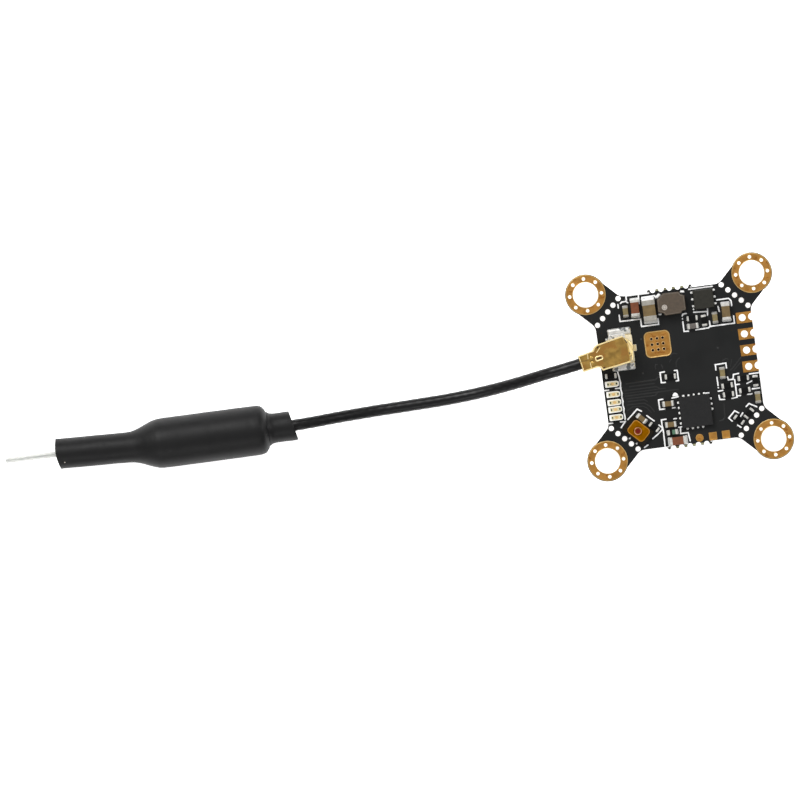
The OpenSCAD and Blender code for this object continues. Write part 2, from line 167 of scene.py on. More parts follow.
def stack(bm, shape, levels, mat=0, caps=(True, True), base=0):
    """A skin over the outlines shape(d) at the heights base + z; levels are (d, z) pairs."""
    loft(bm, [level(shape(d), base + z) for d, z in levels], mat, caps)


def turning(bm, x, y, sides, levels, mat=0, caps=(True, True), base=0):
    """A round part about an upright axis; levels are (radius, height) pairs."""
    stack(bm, lambda r: circle(r, sides, x, y), levels, mat, caps, base)


def prism(bm, outline, low, high, mat=0):
    loft(bm, [level(outline, low), level(outline, high)], mat)


def slab(bm, outline, low, high, edge, mat=0):
    """A plate with its upper edge rounded by edge."""
    levels = [(0, low)]
    for k in range(4):
        a = math.pi / 2 * k / 3
        levels.append((edge * (1 - math.cos(a)), high - edge + edge * math.sin(a)))
    stack(bm, lambda d: inset(outline, d), levels, mat)


def rounded(points, r, steps=3):
    """Softens each corner of an outline with a short curve."""
    out = []
    count = len(points)
    for i in range(count):
        here = Vector(points[i])
        before, after = Vector(points[i - 1]) - here, Vector(points[(i + 1) % count]) - here
        a = here + before.normalized() * min(r, before.length / 2.2)
        b = here + after.normalized() * min(r, after.length / 2.2)
        for k in range(steps + 1):
            t = k / steps
            out.append(tuple(a * (1 - t) ** 2 + here * (2 * t * (1 - t)) + b * t * t))
    return out


def block(bm, place, x, y, size, corner, levels, mat=0, base=0):
    """A rounded block about (x, y) in a chip's own frame; levels are (inset, height) pairs."""
    def shape(d):
        w, l = size[0] - 2 * d, size[1] - 2 * d
        r = max(0.008, min(corner - d * 0.6, w / 2.2, l / 2.2))
        return turned(moved(rounded_rect(w, l, r, 3), x, y), *place)

    stack(bm, shape, levels, mat, base=base)


def drop(bm, x, y, z, r, h, mat=0):
    """A low round blob, such as a solder dot, lying on height z."""
    angles = [math.pi / 2 * k / 5 for k in range(5)]
    turning(bm, x, y, 16, [(r * math.cos(a), h * math.sin(a)) for a in angles], mat, base=z)


def stroke(points, width):
    """Outline of a line of some width with round ends and mitred corners."""
    path = [Vector(p) for p in points]
    left, right = [], []
    for i, here in enumerate(path):
        before = (here - path[i - 1]).normalized() if i else None
        after = (path[i + 1] - here).normalized() if i + 1 < len(path) else None
        t = ((before or after) + (after or before)).normalized()
        n = Vector((-t.y, t.x))
        flat = Vector((-(after or before).y, (after or before).x))
        reach = width / 2 / max(0.35, n.dot(flat))
        left.append(here + n * reach)
        right.append(here - n * reach)
    ends = []
    for centre, side in ((path[-1], right[-1]), (path[0], left[0])):
        turns = [Matrix.Rotation(math.radians(a), 2) for a in range(30, 180, 30)]
        ends.append([centre + turn @ (side - centre) for turn in turns])
    return [tuple(p) for p in right + ends[0] + left[::-1] + ends[1]]


# ---- materials

def node_material(name):
    material = bpy.data.materials.new(name)
    material.use_nodes = True
    tree = material.node_tree
    return material, tree, tree.nodes["Principled BSDF"]


def feed(tree, node, inputs):
    """Gives a node its inputs; each is a value, or the output of another node to link from."""
    for name, value in inputs.items():
        if isinstance(value, bpy.types.NodeSocket):
            tree.links.new(value, node.inputs[name])
        else:
            node.inputs[name].default_value = value
    return node


def add_node(tree, kind, inputs):
    return feed(tree, tree.nodes.new(kind), inputs)


def mottle(tree, grain, detail=4):
    """Noise in the object's own coordinates, with grain features per millimetre."""
    coords = tree.nodes.new("ShaderNodeTexCoord").outputs["Object"]
    inputs = {"Vector": coords, "Scale": grain / MM, "Detail": detail}
    return add_node(tree, "ShaderNodeTexNoise", inputs).outputs["Fac"]


def mix_colours(tree, share, colour, other):
    mix = tree.nodes.new("ShaderNodeMix")
    mix.data_type = "RGBA"
    return feed(tree, mix, {"Factor": share, "A": colour, "B": other}).outputs["Result"]


def relief(tree, height, strength, depth):
    inputs = {"Strength": strength, "Distance": depth * MM, "Height": height}
    return add_node(tree, "ShaderNodeBump", inputs).outputs["Normal"]


def ramp(tree, value, stops):
    node = add_node(tree, "ShaderNodeValToRGB", {"Fac": value})
    while len(node.color_ramp.elements) < len(stops):
        node.color_ramp.elements.new(0.5)
    for element, (at, colour) in zip(node.color_ramp.elements, stops):
        element.position = at
        element.color = (*colour, 1)
    return node.outputs["Color"]


def shade(colour, factor):
    return tuple(min(1, c * factor) for c in colour)


def surface(name, colour, rough, metal=0, vary=0.2, grain=4, bump=0.25, bump_grain=14,
            depth=0.004, spots=None, coat=0, specular=0.5):
    """A material with uneven colour and roughness and a fine relief, sized in millimetres."""
    material, tree, shader = node_material(name)
    patches = mottle(tree, grain)
    tone = ramp(tree, patches, [(0.3, shade(colour, 1 - vary)), (0.7, shade(colour, 1 + vary))])
    if spots:
        # Worn or dirty flecks of another colour, with their grain and share
        other, fleck_grain, share = spots
        flecks = mottle(tree, fleck_grain, 6)
        mask = ramp(tree, flecks, [(1 - share, (0, 0, 0)), (1.06 - share, (1, 1, 1))])
        tone = mix_colours(tree, mask, tone, (*other, 1))
    limits = {"Value": patches, "To Min": max(0.03, rough - 0.1), "To Max": min(1, rough + 0.1)}
    feed(tree, shader, {
        "Base Color": tone, "Roughness": add_node(tree, "ShaderNodeMapRange", limits).outputs["Result"],
        "Normal": relief(tree, mottle(tree, bump_grain, 3), bump, depth),
        "Metallic": metal, "Coat Weight": coat, "Specular IOR Level": specular,
    })
    return material


def board_material():
    """Black mask on the faces, layered fibreglass on the cut edges."""
    material, tree, shader = node_material("board_mask")
    coords = tree.nodes.new("ShaderNodeTexCoord").outputs["Object"]
    normal = tree.nodes.new("ShaderNodeNewGeometry").outputs["Normal"]
    parts = add_node(tree, "ShaderNodeSeparateXYZ", {"Vector": normal})
    upright = add_node(tree, "ShaderNodeMath", {0: parts.outputs["Z"]})
    upright.operation = "ABSOLUTE"
    face = add_node(tree, "ShaderNodeMath", {0: upright.outputs["Value"], 1: 0.6})
    face.operation = "GREATER_THAN"
    on_face = face.outputs["Value"]
    mask = ramp(tree, mottle(tree, 0.35, 2),
                [(0.4, (0.0052, 0.0056, 0.0055)), (0.6, (0.0072, 0.0076, 0.0075))])
    layers = add_node(tree, "ShaderNodeTexWave",
                      {"Vector": coords, "Scale": 1.6 / MM, "Distortion": 1.5, "Detail": 3})
    layers.bands_direction = "Z"
    fibre = ramp(tree, layers.outputs["Fac"], [(0.2, (0.055, 0.05, 0.03)), (0.8, (0.15, 0.135, 0.085))])
    gloss = add_node(tree, "ShaderNodeMapRange", {"Value": on_face, "To Min": 0.75, "To Max": 0.42})
    # The glass weave shows as a faint relief under the mask
    weave = add_node(tree, "ShaderNodeTexWave", {"Vector": coords, "Scale": 0.8 / MM, "Distortion": 0.6})
    weave.bands_direction = "X"
    total = add_node(tree, "ShaderNodeMath", {0: weave.outputs["Fac"], 1: 0.25, 2: mottle(tree, 9, 3)})
    total.operation = "MULTIPLY_ADD"
    feed(tree, shader, {
        "Base Color": mix_colours(tree, on_face, fibre, mask), "Roughness": gloss.outputs["Result"],
        "Normal": relief(tree, total.outputs["Value"], 0.25, 0.004), "Specular IOR Level": 0.22,
    })
    return material


def clear_plastic():
    """Translucent insulation of the antenna's core."""
    material = surface("clear_insulation", (0.72, 0.73, 0.7), 0.2, vary=0.05, bump=0.15)
    tree = material.node_tree
    feed(tree, tree.nodes["Principled BSDF"], {"Transmission Weight": 0.5, "IOR": 1.3})
    return material


def ceramic(name, colour, dirt, share=0.36):
    return surface(name, colour, 0.5, vary=0.16, grain=3, specular=0.35, spots=(dirt, 5, share))


def matt_epoxy(name, colour, rough, grain):
    return surface(name, colour, rough, grain=grain, bump=0.7, bump_grain=26, depth=0.006, specular=0.2)


MASK = board_material()
VIA_CAP = surface("via_cap", (0.018, 0.0185, 0.018), 0.45, vary=0.1, specular=0.3)
TRACE = surface("trace_under_mask", (0.0125, 0.0129, 0.0129), 0.4, vary=0.1, bump=0.1, specular=0.3)
FLASH_GOLD = surface("immersion_gold", (0.44, 0.215, 0.052), 0.42, metal=1, vary=0.16, grain=1.6, bump=0.35,
                     bump_grain=16, spots=((0.33, 0.135, 0.028), 2.2, 0.42))
VIA_RIM = surface("via_rim", (0.09, 0.085, 0.07), 0.5, metal=0.1, vary=0.3, grain=3)
BRIGHT_GOLD = surface("bright_gold", (0.56, 0.37, 0.11), 0.26, metal=1, vary=0.12, grain=1, bump=0.3,
                      bump_grain=7, depth=0.01, spots=((0.42, 0.24, 0.05), 1.6, 0.36))
PALE_GOLD = surface("pale_gold", (0.8, 0.66, 0.38), 0.3, metal=1, vary=0.1, grain=2, bump=0.3)
SOLDER = surface("solder", (0.86, 0.86, 0.84), 0.36, metal=0.25, vary=0.12, grain=5, bump=0.6, bump_grain=9,
                 depth=0.02, spots=((0.4, 0.42, 0.44), 4, 0.36))
TIN = surface("tinned_end", (0.52, 0.51, 0.475), 0.45, metal=0.2, bump=0.6, bump_grain=12, depth=0.012,
              spots=((0.36, 0.35, 0.32), 2.6, 0.38))
DULL_TIN = surface("dull_tin", (0.29, 0.275, 0.24), 0.45, metal=0.2, grain=3, bump=0.6, bump_grain=12,
                   depth=0.012, spots=((0.24, 0.23, 0.2), 2, 0.42))
LAND_SOLDER = surface("land_solder", (0.64, 0.635, 0.61), 0.36, metal=0.25, grain=2, bump=0.8, bump_grain=5,
                      depth=0.03, spots=((0.13, 0.14, 0.145), 2, 0.48))
JOINT = surface("bright_joint", (0.92, 0.92, 0.9), 0.35, vary=0.06, grain=5)
SILK = surface("white_print", (0.8, 0.8, 0.8), 0.6, vary=0.06, grain=10, bump=0.4, bump_grain=24,
               spots=((0.5, 0.5, 0.5), 9, 0.3))
TAN = ceramic("tan_ceramic", (0.135, 0.09, 0.034), (0.09, 0.065, 0.03))
LIGHT_TAN = ceramic("light_tan_ceramic", (0.18, 0.14, 0.06), (0.12, 0.095, 0.045))
BROWN = ceramic("brown_ceramic", (0.15, 0.043, 0.014), (0.1, 0.035, 0.014), 0.32)
GREY_CERAMIC = surface("grey_ceramic", (0.105, 0.092, 0.082), 0.5, specular=0.35)
BLACK_GLAZE = surface("black_overglaze", (0.003, 0.003, 0.003), 0.4, grain=6, bump=0.2, specular=0.12)
ALUMINA = surface("white_alumina", (0.62, 0.61, 0.58), 0.55, vary=0.06, grain=8)
EPOXY = matt_epoxy("chip_epoxy", (0.0105, 0.0105, 0.0108), 0.62, 5)
GREY_EPOXY = matt_epoxy("grey_epoxy", (0.02, 0.019, 0.0145), 0.6, 4)
FERRITE = surface("choke_ferrite", (0.061, 0.042, 0.026), 0.66, bump=0.8, bump_grain=18, depth=0.01,
                  spots=((0.05, 0.04, 0.034), 12, 0.34))
# Paler ferrite for the painted highlight on the choke's top bevel
FERRITE_EDGE_HIGHLIGHT = surface("choke_bevel_painted_highlight", (0.105, 0.085, 0.062), 0.6, vary=0.35, grain=2)
GREY_DOT = surface("grey_mark", (0.38, 0.34, 0.3), 0.5, vary=0.1, grain=10)
LED_FRAME = surface("led_frame", (0.82, 0.81, 0.76), 0.5, vary=0.05, grain=8)
LED_GEL = surface("led_gel", (0.6, 0.53, 0.33), 0.3, vary=0.15, bump=0.2, coat=0.2)
LED_TINT = surface("led_phosphor", (0.58, 0.37, 0.14), 0.35, vary=0.25, grain=5, coat=0.2)
LED_GREEN = surface("led_mask", (0.02, 0.035, 0.012), 0.4, vary=0.25, grain=8)
DIODE_GREEN = surface("diode_green", (0.07, 0.15, 0.095), 0.35, vary=0.15, grain=6)
CREAM = surface("cream_polymer", (0.7, 0.62, 0.44), 0.5, vary=0.08, grain=5)
WHITE_POLYMER = surface("white_polymer", (0.74, 0.73, 0.69), 0.45, vary=0.05, grain=5)
FILM = surface("amber_film", (0.2, 0.074, 0), 0.45, vary=0.16, grain=1.6, bump=0.3, bump_grain=4,
               depth=0.012, spots=((0.27, 0.11, 0), 0.9, 0.42), specular=0)
FILM_EDGE = surface("film_edge", (0.33, 0.145, 0.012), 0.4, vary=0.25, grain=2, specular=0.2)
KEY_RED = surface("key_red", (0.125, 0.006, 0.003), 0.4, vary=0.25, grain=5, specular=0.15)
KEY_RIM = surface("key_rim", (0.46, 0.2, 0.12), 0.4, vary=0.5, grain=2.5, specular=0.2)
SWITCH = surface("switch_base", (0.009, 0.0062, 0.0028), 0.5, specular=0.12)
STEEL = surface("tin_plate", (0.5, 0.5, 0.51), 0.34, metal=1, vary=0.08, grain=0.8, bump=0.35, bump_grain=5,
                depth=0.008, spots=((0.36, 0.36, 0.36), 2.2, 0.36))
JACKET = surface("cable_jacket", (0.0022, 0.0022, 0.0024), 0.34, grain=3, bump=0.3, specular=0.25)
SHRINK = surface("heat_shrink", (0.006, 0.006, 0.0062), 0.48, vary=0.14, grain=0.5, bump=0.5, bump_grain=3,
                 depth=0.012, spots=((0.01, 0.01, 0.0102), 0.9, 0.3), specular=0.2)
MELT = surface("hot_melt", (0.02, 0.018, 0.016), 0.5, grain=2)
BRASS = surface("drawn_brass", (0.6, 0.4, 0.14), 0.3, metal=1, vary=0.1, grain=2)
SILVER = surface("silver_strand", (0.3, 0.3, 0.29), 0.35, metal=0.7, vary=0.15, grain=6)
CLEAR = clear_plastic()
SHADED_FIBRE = surface("shaded_fibreglass", (0.03, 0.028, 0.018), 0.8, vary=0.35, grain=6)
FIBRE = surface("torn_fibreglass", (0.27, 0.265, 0.15), 0.8, vary=0.35, grain=6, bump=1, bump_grain=12,
                depth=0.04)
# Paler golds of painted highlight on the raised plated edges and the via lips
GOLD_EDGE_HIGHLIGHT = surface("edge_gold_painted_highlight", (0.58, 0.4, 0.16), 0.4, metal=1, vary=0.12, grain=2, bump=0.3)
PAD_EDGE_HIGHLIGHT = surface("pad_edge_painted_highlight", (0.47, 0.27, 0.08), 0.42, metal=1, vary=0.14, grain=2, bump=0.3)
VIA_LIP_HIGHLIGHT = surface("via_lip_painted_highlight", (0.62, 0.42, 0.2), 0.45, metal=0.8, grain=3)
# Painted shade for inside the thermal pad's vias
VIA_PAINTED_SHADE = surface("via_painted_shade", (0.012, 0.004, 0.002), 0.7, grain=6, specular=0.1)
PLUG_FIELD = surface("tarnished_gold", (0.41, 0.25, 0.066), 0.38, metal=1, vary=0.26, grain=1.6, bump=0.5,
                     bump_grain=6, depth=0.02, spots=((0.37, 0.19, 0.05), 0.8, 0.5))
# Pale gold that carries painted highlight on the plug's rims, ribs, fold marks and snap ring
PLUG_HIGHLIGHT_GOLD = surface("plug_gold_painted_highlight", (0.92, 0.74, 0.37), 0.32, metal=0.45, vary=0.1, grain=2, bump=0.3)
# Near black for the painted shadow in the plug's slits and gaps
SLIT_PAINTED_SHADOW = surface("slit_shadow", (0.06, 0.03, 0.006), 0.6, metal=0.4)


# ---- camera and cable

VIEW_CENTRE = (-26.9, 0.4)
VIEW_WIDTH = 76.43
VIEW_TURN = -7.61
VIEW_HEIGHT = 250


def make_camera():
    data = bpy.data.cameras.new("camera")
    data.type = "ORTHO"
    data.ortho_scale = VIEW_WIDTH * MM
    data.clip_start = 0.01
    data.clip_end = 2
    camera = link_object("camera", data)
    camera.location = (VIEW_CENTRE[0] * MM, VIEW_CENTRE[1] * MM, VIEW_HEIGHT * MM)
    camera.rotation_euler = (0, 0, math.radians(VIEW_TURN))
    bpy.context.scene.camera = camera


CABLE_ROUTE = [
    (-8.08, 1.81, 2.78), (-9.4, 1.53, 2.78), (-10.4, 1.36, 2.75), (-11.4, 1.2, 2.62),
    (-12.6, 1.02, 2.28), (-14, 0.79, 1.68), (-15.4, 0.56, 0.98), (-16.8, 0.36, 0.28),
    (-18.2, 0.19, -0.32), (-19.7, 0.04, -0.75), (-21.3, -0.08, -0.98), (-23, -0.17, -1.03),
    (-25, -0.22, -1.03), (-27, -0.27, -1.03), (-29, -0.31, -0.98), (-30.6, -0.36, -0.78),
    (-32.2, -0.42, -0.38), (-33.8, -0.5, 0.12), (-35.4, -0.59, 0.52), (-37, -0.65, 0.76),
    (-38.6, -0.67, 0.8), (-40.5, -0.67, 0.8), (-43, -0.67, 0.8), (-45.5, -0.67, 0.8),
    (-48, -0.67, 0.8), (-50.3, -0.67, 0.8),
]
CABLE_D = 1.13


def smooth_path(points, step):
    """A Catmull-Rom curve through the points, sampled about every step."""
    pts = [Vector(p) for p in points]
    ends = [2 * pts[0] - pts[1], *pts, 2 * pts[-1] - pts[-2]]
    out = []
    for a, b, c, d in zip(ends, ends[1:], ends[2:], ends[3:]):
        count = max(1, round((c - b).length / step))
        for k in range(count):
            t = k / count
            out.append(0.5 * (2 * b + (c - a) * t + (2 * a - 5 * b + 4 * c - d) * t * t
                              + (3 * b - a - 3 * c + d) * t ** 3))
    return out + [pts[-1]]


def sweep(bm, path, radius, sides):
    """A tube along a path; radius(distance, angle) may vary."""
    rings, gone = [], 0
    for i, here in enumerate(path):
        along = (path[min(i + 1, len(path) - 1)] - path[max(i - 1, 0)]).normalized()
        across = Vector((0, 0, 1)).cross(along).normalized()
        up = along.cross(across)
        if i:
            gone += (here - path[i - 1]).length
        angles = [2 * math.pi * k / sides for k in range(sides)]
        rings.append([here + radius(gone, a) * (math.cos(a) * across + math.sin(a) * up) for a in angles])
    loft(bm, rings)


BRAID_PITCH = 0.95
BRAID_DEPTH = 0.018


def braid(gone, angle):
    """Jacket radius with the crossed strands of the braid pressing through."""
    crossing = math.cos(5 * angle) * math.cos(2 * math.pi * gone / BRAID_PITCH)
    return CABLE_D / 2 * (1 - BRAID_DEPTH + BRAID_DEPTH * crossing)


def make_cable():
    path = smooth_path(CABLE_ROUTE, 0.08)
    bm = bmesh.new()
    sweep(bm, path, braid, 30)
    cable = new_piece("cable_jacket", bm, [JACKET], "cable_jacket", "antenna_cable", body="antenna")
    return cable, [tuple(p * MM) for p in [*path[::6], path[-1]]]


# ---- antenna

# Distance from the mouth of the heat-shrink and its radius there
SLEEVE_PROFILE = [
    (0, 1.36), (0.06, 1.42), (0.5, 1.43), (1.2, 1.41), (1.9, 1.42), (2.2, 1.48), (2.45, 1.66), (2.62, 1.92),
    (2.78, 2.15), (2.98, 2.3), (3.2, 2.365), (3.5, 2.39), (4.4, 2.4), (6.4, 2.385), (8.4, 2.4), (10.4, 2.39),
    (12.2, 2.4), (12.8, 2.385), (13.2, 2.33), (13.6, 2.2), (14.1, 2), (14.6, 1.78), (15.1, 1.6), (15.5, 1.5),
    (16, 1.465), (17.5, 1.455), (19, 1.46), (20.5, 1.455), (22.3, 1.46), (22.8, 1.475), (22.9, 1.44),
]
STEEP = 0.25
SLEEVE_MOUTH_X = -37.3
SLEEVE_Y, SLEEVE_Z = -0.67, 0.8
TAIL_START = 15.4
TAIL_TILT = math.tan(math.radians(2.3))


def sleeve_axis(s):
    """Centre of the heat-shrink at distance s from its mouth: straight, then bent a little at the tail."""
    bend = max(0, s - TAIL_START) * TAIL_TILT
    return Vector((SLEEVE_MOUTH_X - s, SLEEVE_Y + bend, SLEEVE_Z))


def interpolate(table, s):
    """The table's value at s: straight between its points, but eased where it climbs steeply."""
    for (s0, v0), (s1, v1) in zip(table, table[1:]):
        if s <= s1:
            t = (s - s0) / (s1 - s0)
            if abs(v1 - v0) > STEEP:
                t = t * t * (3 - 2 * t)
            return v0 + (v1 - v0) * t
    return table[-1][1]


def make_sleeve():
    length = SLEEVE_PROFILE[-1][0]
    wall, lip = 0.4, 0.1
    mouth_depth = 0.7

    def ring(s, inset_by):
        r0 = interpolate(SLEEVE_PROFILE, s) - inset_by
        crease = -0.03 * math.exp(-((s - 2.5) / 0.07) ** 2) - 0.02 * math.exp(-((s - 3.12) / 0.06) ** 2)
        near, far = max(0, 1 - s / 1.5), max(0, 1 - (length - s) / 0.8)
        points = []
        for y, z in circle(1, 72):
            dents = noise.noise(Vector((s * 0.35, y * 0.9, z * 0.9))) * 0.035
            wrinkle = noise.noise(Vector((s * 2.2, y * 1.4 + 9, z * 1.4))) * 0.012
            r = r0 + min(0, dents + wrinkle + crease)
            # The near mouth is cut askew, and the far one is bowed
            slant = -0.21 * y * r * near + (0.25 * y * y - 0.08 * y) * far
            points.append(sleeve_axis(s) + Vector((slant, r * y, r * z)))
        return points

    near_mouth = [ring(mouth_depth, wall), ring(0, wall), ring(0, lip)]
    outside = [ring(length * (k / 240), 0) for k in range(241)]
    far_mouth = [ring(length, lip), ring(length, wall), ring(length - mouth_depth, wall)]
    bm = bmesh.new()
    loft(bm, near_mouth + outside + far_mouth, caps=OPEN)
    # A speck of dust near the tail's mouth
    drop(bm, -59.43, -1.24, 1.96, 0.08, 0.04, 1)
    sleeve = new_piece("heat_shrink", bm, [SHRINK, GREY_DOT], "heat_shrink", "antenna_sleeve", body="antenna")

    # Adhesive that fills the mouths round the cable and round the core
    bm = bmesh.new()
    for s0, s1, hole in ((0.35, 2.3, CABLE_D / 2 + 0.01), (TAIL_START, length - 0.2, 0.34)):
        profile = ((s0 + 0.12, hole), (s0, hole + 0.15), (s0 + 0.06, 1.02), (s1, 1.02), (s1 + 0.08, 0.8),
                   (s1 - 0.1, hole))
        rings = [[sleeve_axis(s) + Vector((0, y, z)) for y, z in circle(r, 40)] for s, r in profile]
        loft(bm, rings, caps=OPEN)
    melt = new_piece("mouth_adhesive", bm, [MELT], "hot_melt", "sleeve_adhesive", body="antenna")
    return [sleeve, melt]


def make_core():
    """Clear insulation with a twisted silver wire inside, past the tail of the heat-shrink."""
    mouth = sleeve_axis(SLEEVE_PROFILE[-1][0] - 0.4)
    tip = Vector((-65, mouth.y + 0.03, SLEEVE_Z))
    start, gap = 13.4, 0.4
    hidden = (mouth - sleeve_axis(start)).length
    line = [sleeve_axis(start + gap * k) for k in range(int(hidden / gap))]
    line += [mouth.lerp(tip, k / 12) for k in range(13)]
    path = smooth_path(line, 0.2)
    total = sum((b - a).length for a, b in zip(path, path[1:]))
    bm = bmesh.new()
    sweep(bm, path, lambda gone, a: 0.33 - 0.07 * gone / total, 24)
    clear = new_piece("core_insulation", bm, [CLEAR], "clear_insulation", "antenna_insulation",
                      body="antenna")

    strands, twist_r, pitch, strand_r, step = 2, 0.038, 1.14, 0.04, 0.08
    fine = smooth_path(line[:-1] + [tip + Vector((-0.08, 0, 0))], step)
    bm = bmesh.new()
    for strand in range(strands):
        helix = []
        for i, p in enumerate(fine):
            a = 2 * math.pi * (i * step / pitch + strand / strands)
            helix.append(p + Vector((0, twist_r * math.cos(a), twist_r * math.sin(a))))
        sweep(bm, helix, lambda gone, a: strand_r, 8)
    wire = new_piece("twisted_wire", bm, [SILVER], "silvered_wire", "antenna_wire", body="antenna")
    return [clear, wire]


# ---- plug

SOCKET_AT = (-5.29, 2.4)
PLUG_TURN = 192
PLUG_TOP = PAD_Z + 2.5
FIELD_Z = PLUG_TOP - 0.06
CABLE_Z = PAD_Z + 1.78


def in_plug(points):
    return turned(points, *SOCKET_AT, PLUG_TURN)


# Outlines in the plug's own frame: X runs along the cable, away from the socket
HEAD = [(-0.48, -1.2), (2.12, -1.2), (2.42, -1.12), (2.66, -0.79), (2.66, 0.86), (2.46, 0.98), (2.36, 1.32),
        (-0.44, 1.46), (-0.62, 0.73), (-0.76, -0.33)]
PLATE = [*HEAD[:3], (2.66, -0.8), (4.17, -0.77), (4.15, 0.85), (2.78, 0.87), (2.48, 0.97), *HEAD[6:]]
UPPER_RIM = [(-0.44, -1.12), (0.94, -1.13), (2.08, -1.12), (2.34, -1.03), (2.6, -0.73), (4.1, -0.7)]
LOWER_RIM = [(-0.38, 1.38), (0.94, 1.33), (2.28, 1.25), (2.41, 0.93), (2.74, 0.79), (4.08, 0.78)]


def plug_plate(bm, outline, corner, levels):
    """A plate in the plug's frame; levels are (inset, height over the field) pairs."""
    stack(bm, lambda d: in_plug(rounded(inset(outline, d), corner)), levels, base=FIELD_Z)


def ridge(bm, path, width, low, high, mat=0):
    """A rounded ridge along a line in the plug's frame, from low to high over the field."""
    sections = ((1, 0), (1, 0.45), (0.8, 0.85), (0.5, 1))
    stack(bm, lambda w: in_plug(stroke(path, w * width)), [(w, low + (high - low) * h) for w, h in sections],
          mat, base=FIELD_Z)


def make_plug():
    bm = bmesh.new()
    # Head with its walls, and the plate on it
    plug_plate(bm, HEAD, 0.14,
               ((0.16, -1.44), (0.03, -1.44), (0.01, -1.4), (0, -0.2), (0, -0.04), (0.03, -0.01)))
    plug_plate(bm, PLATE, 0.14, ((0.05, -0.24), (0, -0.2), (0, -0.04), (0.03, -0.01), (0.06, 0)))
    # The rims are in the gold with painted highlight
    for rim in (UPPER_RIM, LOWER_RIM):
        ridge(bm, rim, 0.15, -0.05, 0.06, 1)
    # Raised edge of the slot near the crimp, and two short ribs by the shoulders; the edge and the first rib
    # are in the gold with painted highlight
    slot = moved(rounded_rect(0.8, 0.48, 0.2), 2.3, 0.09)
    lip = ((0, -0.02), (0.01, 0.025), (0.04, 0.04), (0.08, 0.035), (0.12, 0), (0.13, -0.02))
    stack(bm, lambda d: in_plug(inset(slot, d)), lip, 1, OPEN, FIELD_Z)
    ridge(bm, [(1.9, -0.82), (2.34, -0.5)], 0.08, -0.02, 0.035, 1)
    ridge(bm, [(2, 1.02), (2.34, 0.84)], 0.08, -0.02, 0.03)
    # Crimp: folded barrels round the cable with a groove between them, then the round hole for the cable
    folds = [
        (2.6, 0.74, 0.56), (3.16, 0.78, 0.6), (3.2, 0.72, 0.56), (3.3, 0.72, 0.56), (3.34, 0.8, 0.62),
        (3.5, 0.83, 0.64), (4, 0.83, 0.64), (4.12, 0.81, 0.62), (4.16, 0.77, 0.59),
    ]
    sections = [(*fold, 0.55, 0.04) for fold in folds] + [(4.13, r, r, 1, 0) for r in (0.62, 0.58)]
    rings = []
    for s, half_w, half_h, power, aside in sections:
        ring = []
        for c, d in circle(1, 40):
            (x, y), = in_plug([(s, half_w * math.copysign(abs(c) ** power, c) + aside)])
            ring.append((x, y, CABLE_Z + half_h * math.copysign(abs(d) ** power, d)))
        rings.append(ring)
    loft(bm, rings, caps=(True, False))
    # Fold marks across the crimp and its tabs, in the gold with painted highlight
    for path in ([(3.2, -0.66), (3.32, -0.2)], [(3.24, 0.2), (3.3, 0.74)], [(4.08, -0.66), (4.06, -0.16)],
                 [(4.06, -0.06), (4.08, 0.74)]):
        ridge(bm, path, 0.09, -0.02, 0.04, 1)
    for x, y in in_plug([(2.98, -0.2), (3.02, 0.3)]):
        drop(bm, x, y, FIELD_Z - 0.01, 0.15, 0.045)
    plug = new_piece("antenna_plug", bm, [BRIGHT_GOLD, PLUG_HIGHLIGHT_GOLD], "gold_plate", "plug_shell",
                     body="antenna")

    # Tarnished middle of the plate
    bm = bmesh.new()
    plug_plate(bm, PLATE, 0.1, ((0.12, -0.01), (0.125, 0.004), (0.15, 0.006)))
    plate = new_piece("plug_field", bm, [PLUG_FIELD], "gold_plate", body="antenna")

    # Painted shadow in the slits: flat dark marks in the slot, by the shoulders, at the rims' joints, along
    # the seam and at the front edge
    bm = bmesh.new()
    marks = [
        # Middle, turn, length, width, corner
        (2.3, 0.09, -3, 0.5, 0.2, 0.09), (2.08, -0.93, 35, 0.26, 0.15, 0.06),
        (2.14, 1.1, -10, 0.24, 0.14, 0.06), (0.94, -1.03, 0, 0.08, 0.13, 0.03),
        (0.98, 1.25, 0, 0.07, 0.12, 0.03), (3.72, -0.14, -14, 0.62, 0.05, 0.02),
        (-0.64, -0.6, 16, 0.09, 0.52, 0.04), (-0.63, 0.62, 0, 0.08, 0.2, 0.03),
        (2.94, 0.06, -10, 0.4, 0.05, 0.02),
    ]
    for s, t, turn, *size in marks:
        prism(bm, in_plug(turned(rounded_rect(*size), s, t, turn)), FIELD_Z - 0.02, FIELD_Z + 0.008)
    slits = new_piece("plug_slit_painted_shadow", bm, [SLIT_PAINTED_SHADOW], "gold_plate", body="antenna")

    # Snap ring that grips the socket's barrel, showing past the plate's front edge; all of it in the gold
    # with painted highlight
    bm = bmesh.new()
    ring = ((1.02, 1.56), (1.02, 0.52), (1.12, 0.52), (1.15, 0.58), (1.15, 2.1), (1.1, 2.24), (1, 2.3),
            (0.8, 2.32))
    turning(bm, *SOCKET_AT, 48, ring, caps=(False, True), base=PAD_Z)
    ridge(bm, [(-0.84, -0.62), (-1, -0.1), (-0.98, 0.3)], 0.14, -0.14, -0.04)
    ridge(bm, [(-0.9, 0.56), (-0.78, 1), (-0.66, 1.28)], 0.16, -0.24, -0.1)
    collar = new_piece("plug_snap_ring", bm, [PLUG_HIGHLIGHT_GOLD], "gold_plate", body="antenna")
    return [plug, plate, slits, collar]


make_camera()
cable, cable_path = make_cable()
antenna_pieces = make_sleeve() + make_core()
plug_pieces = make_plug()


# ---- print and traces on the board

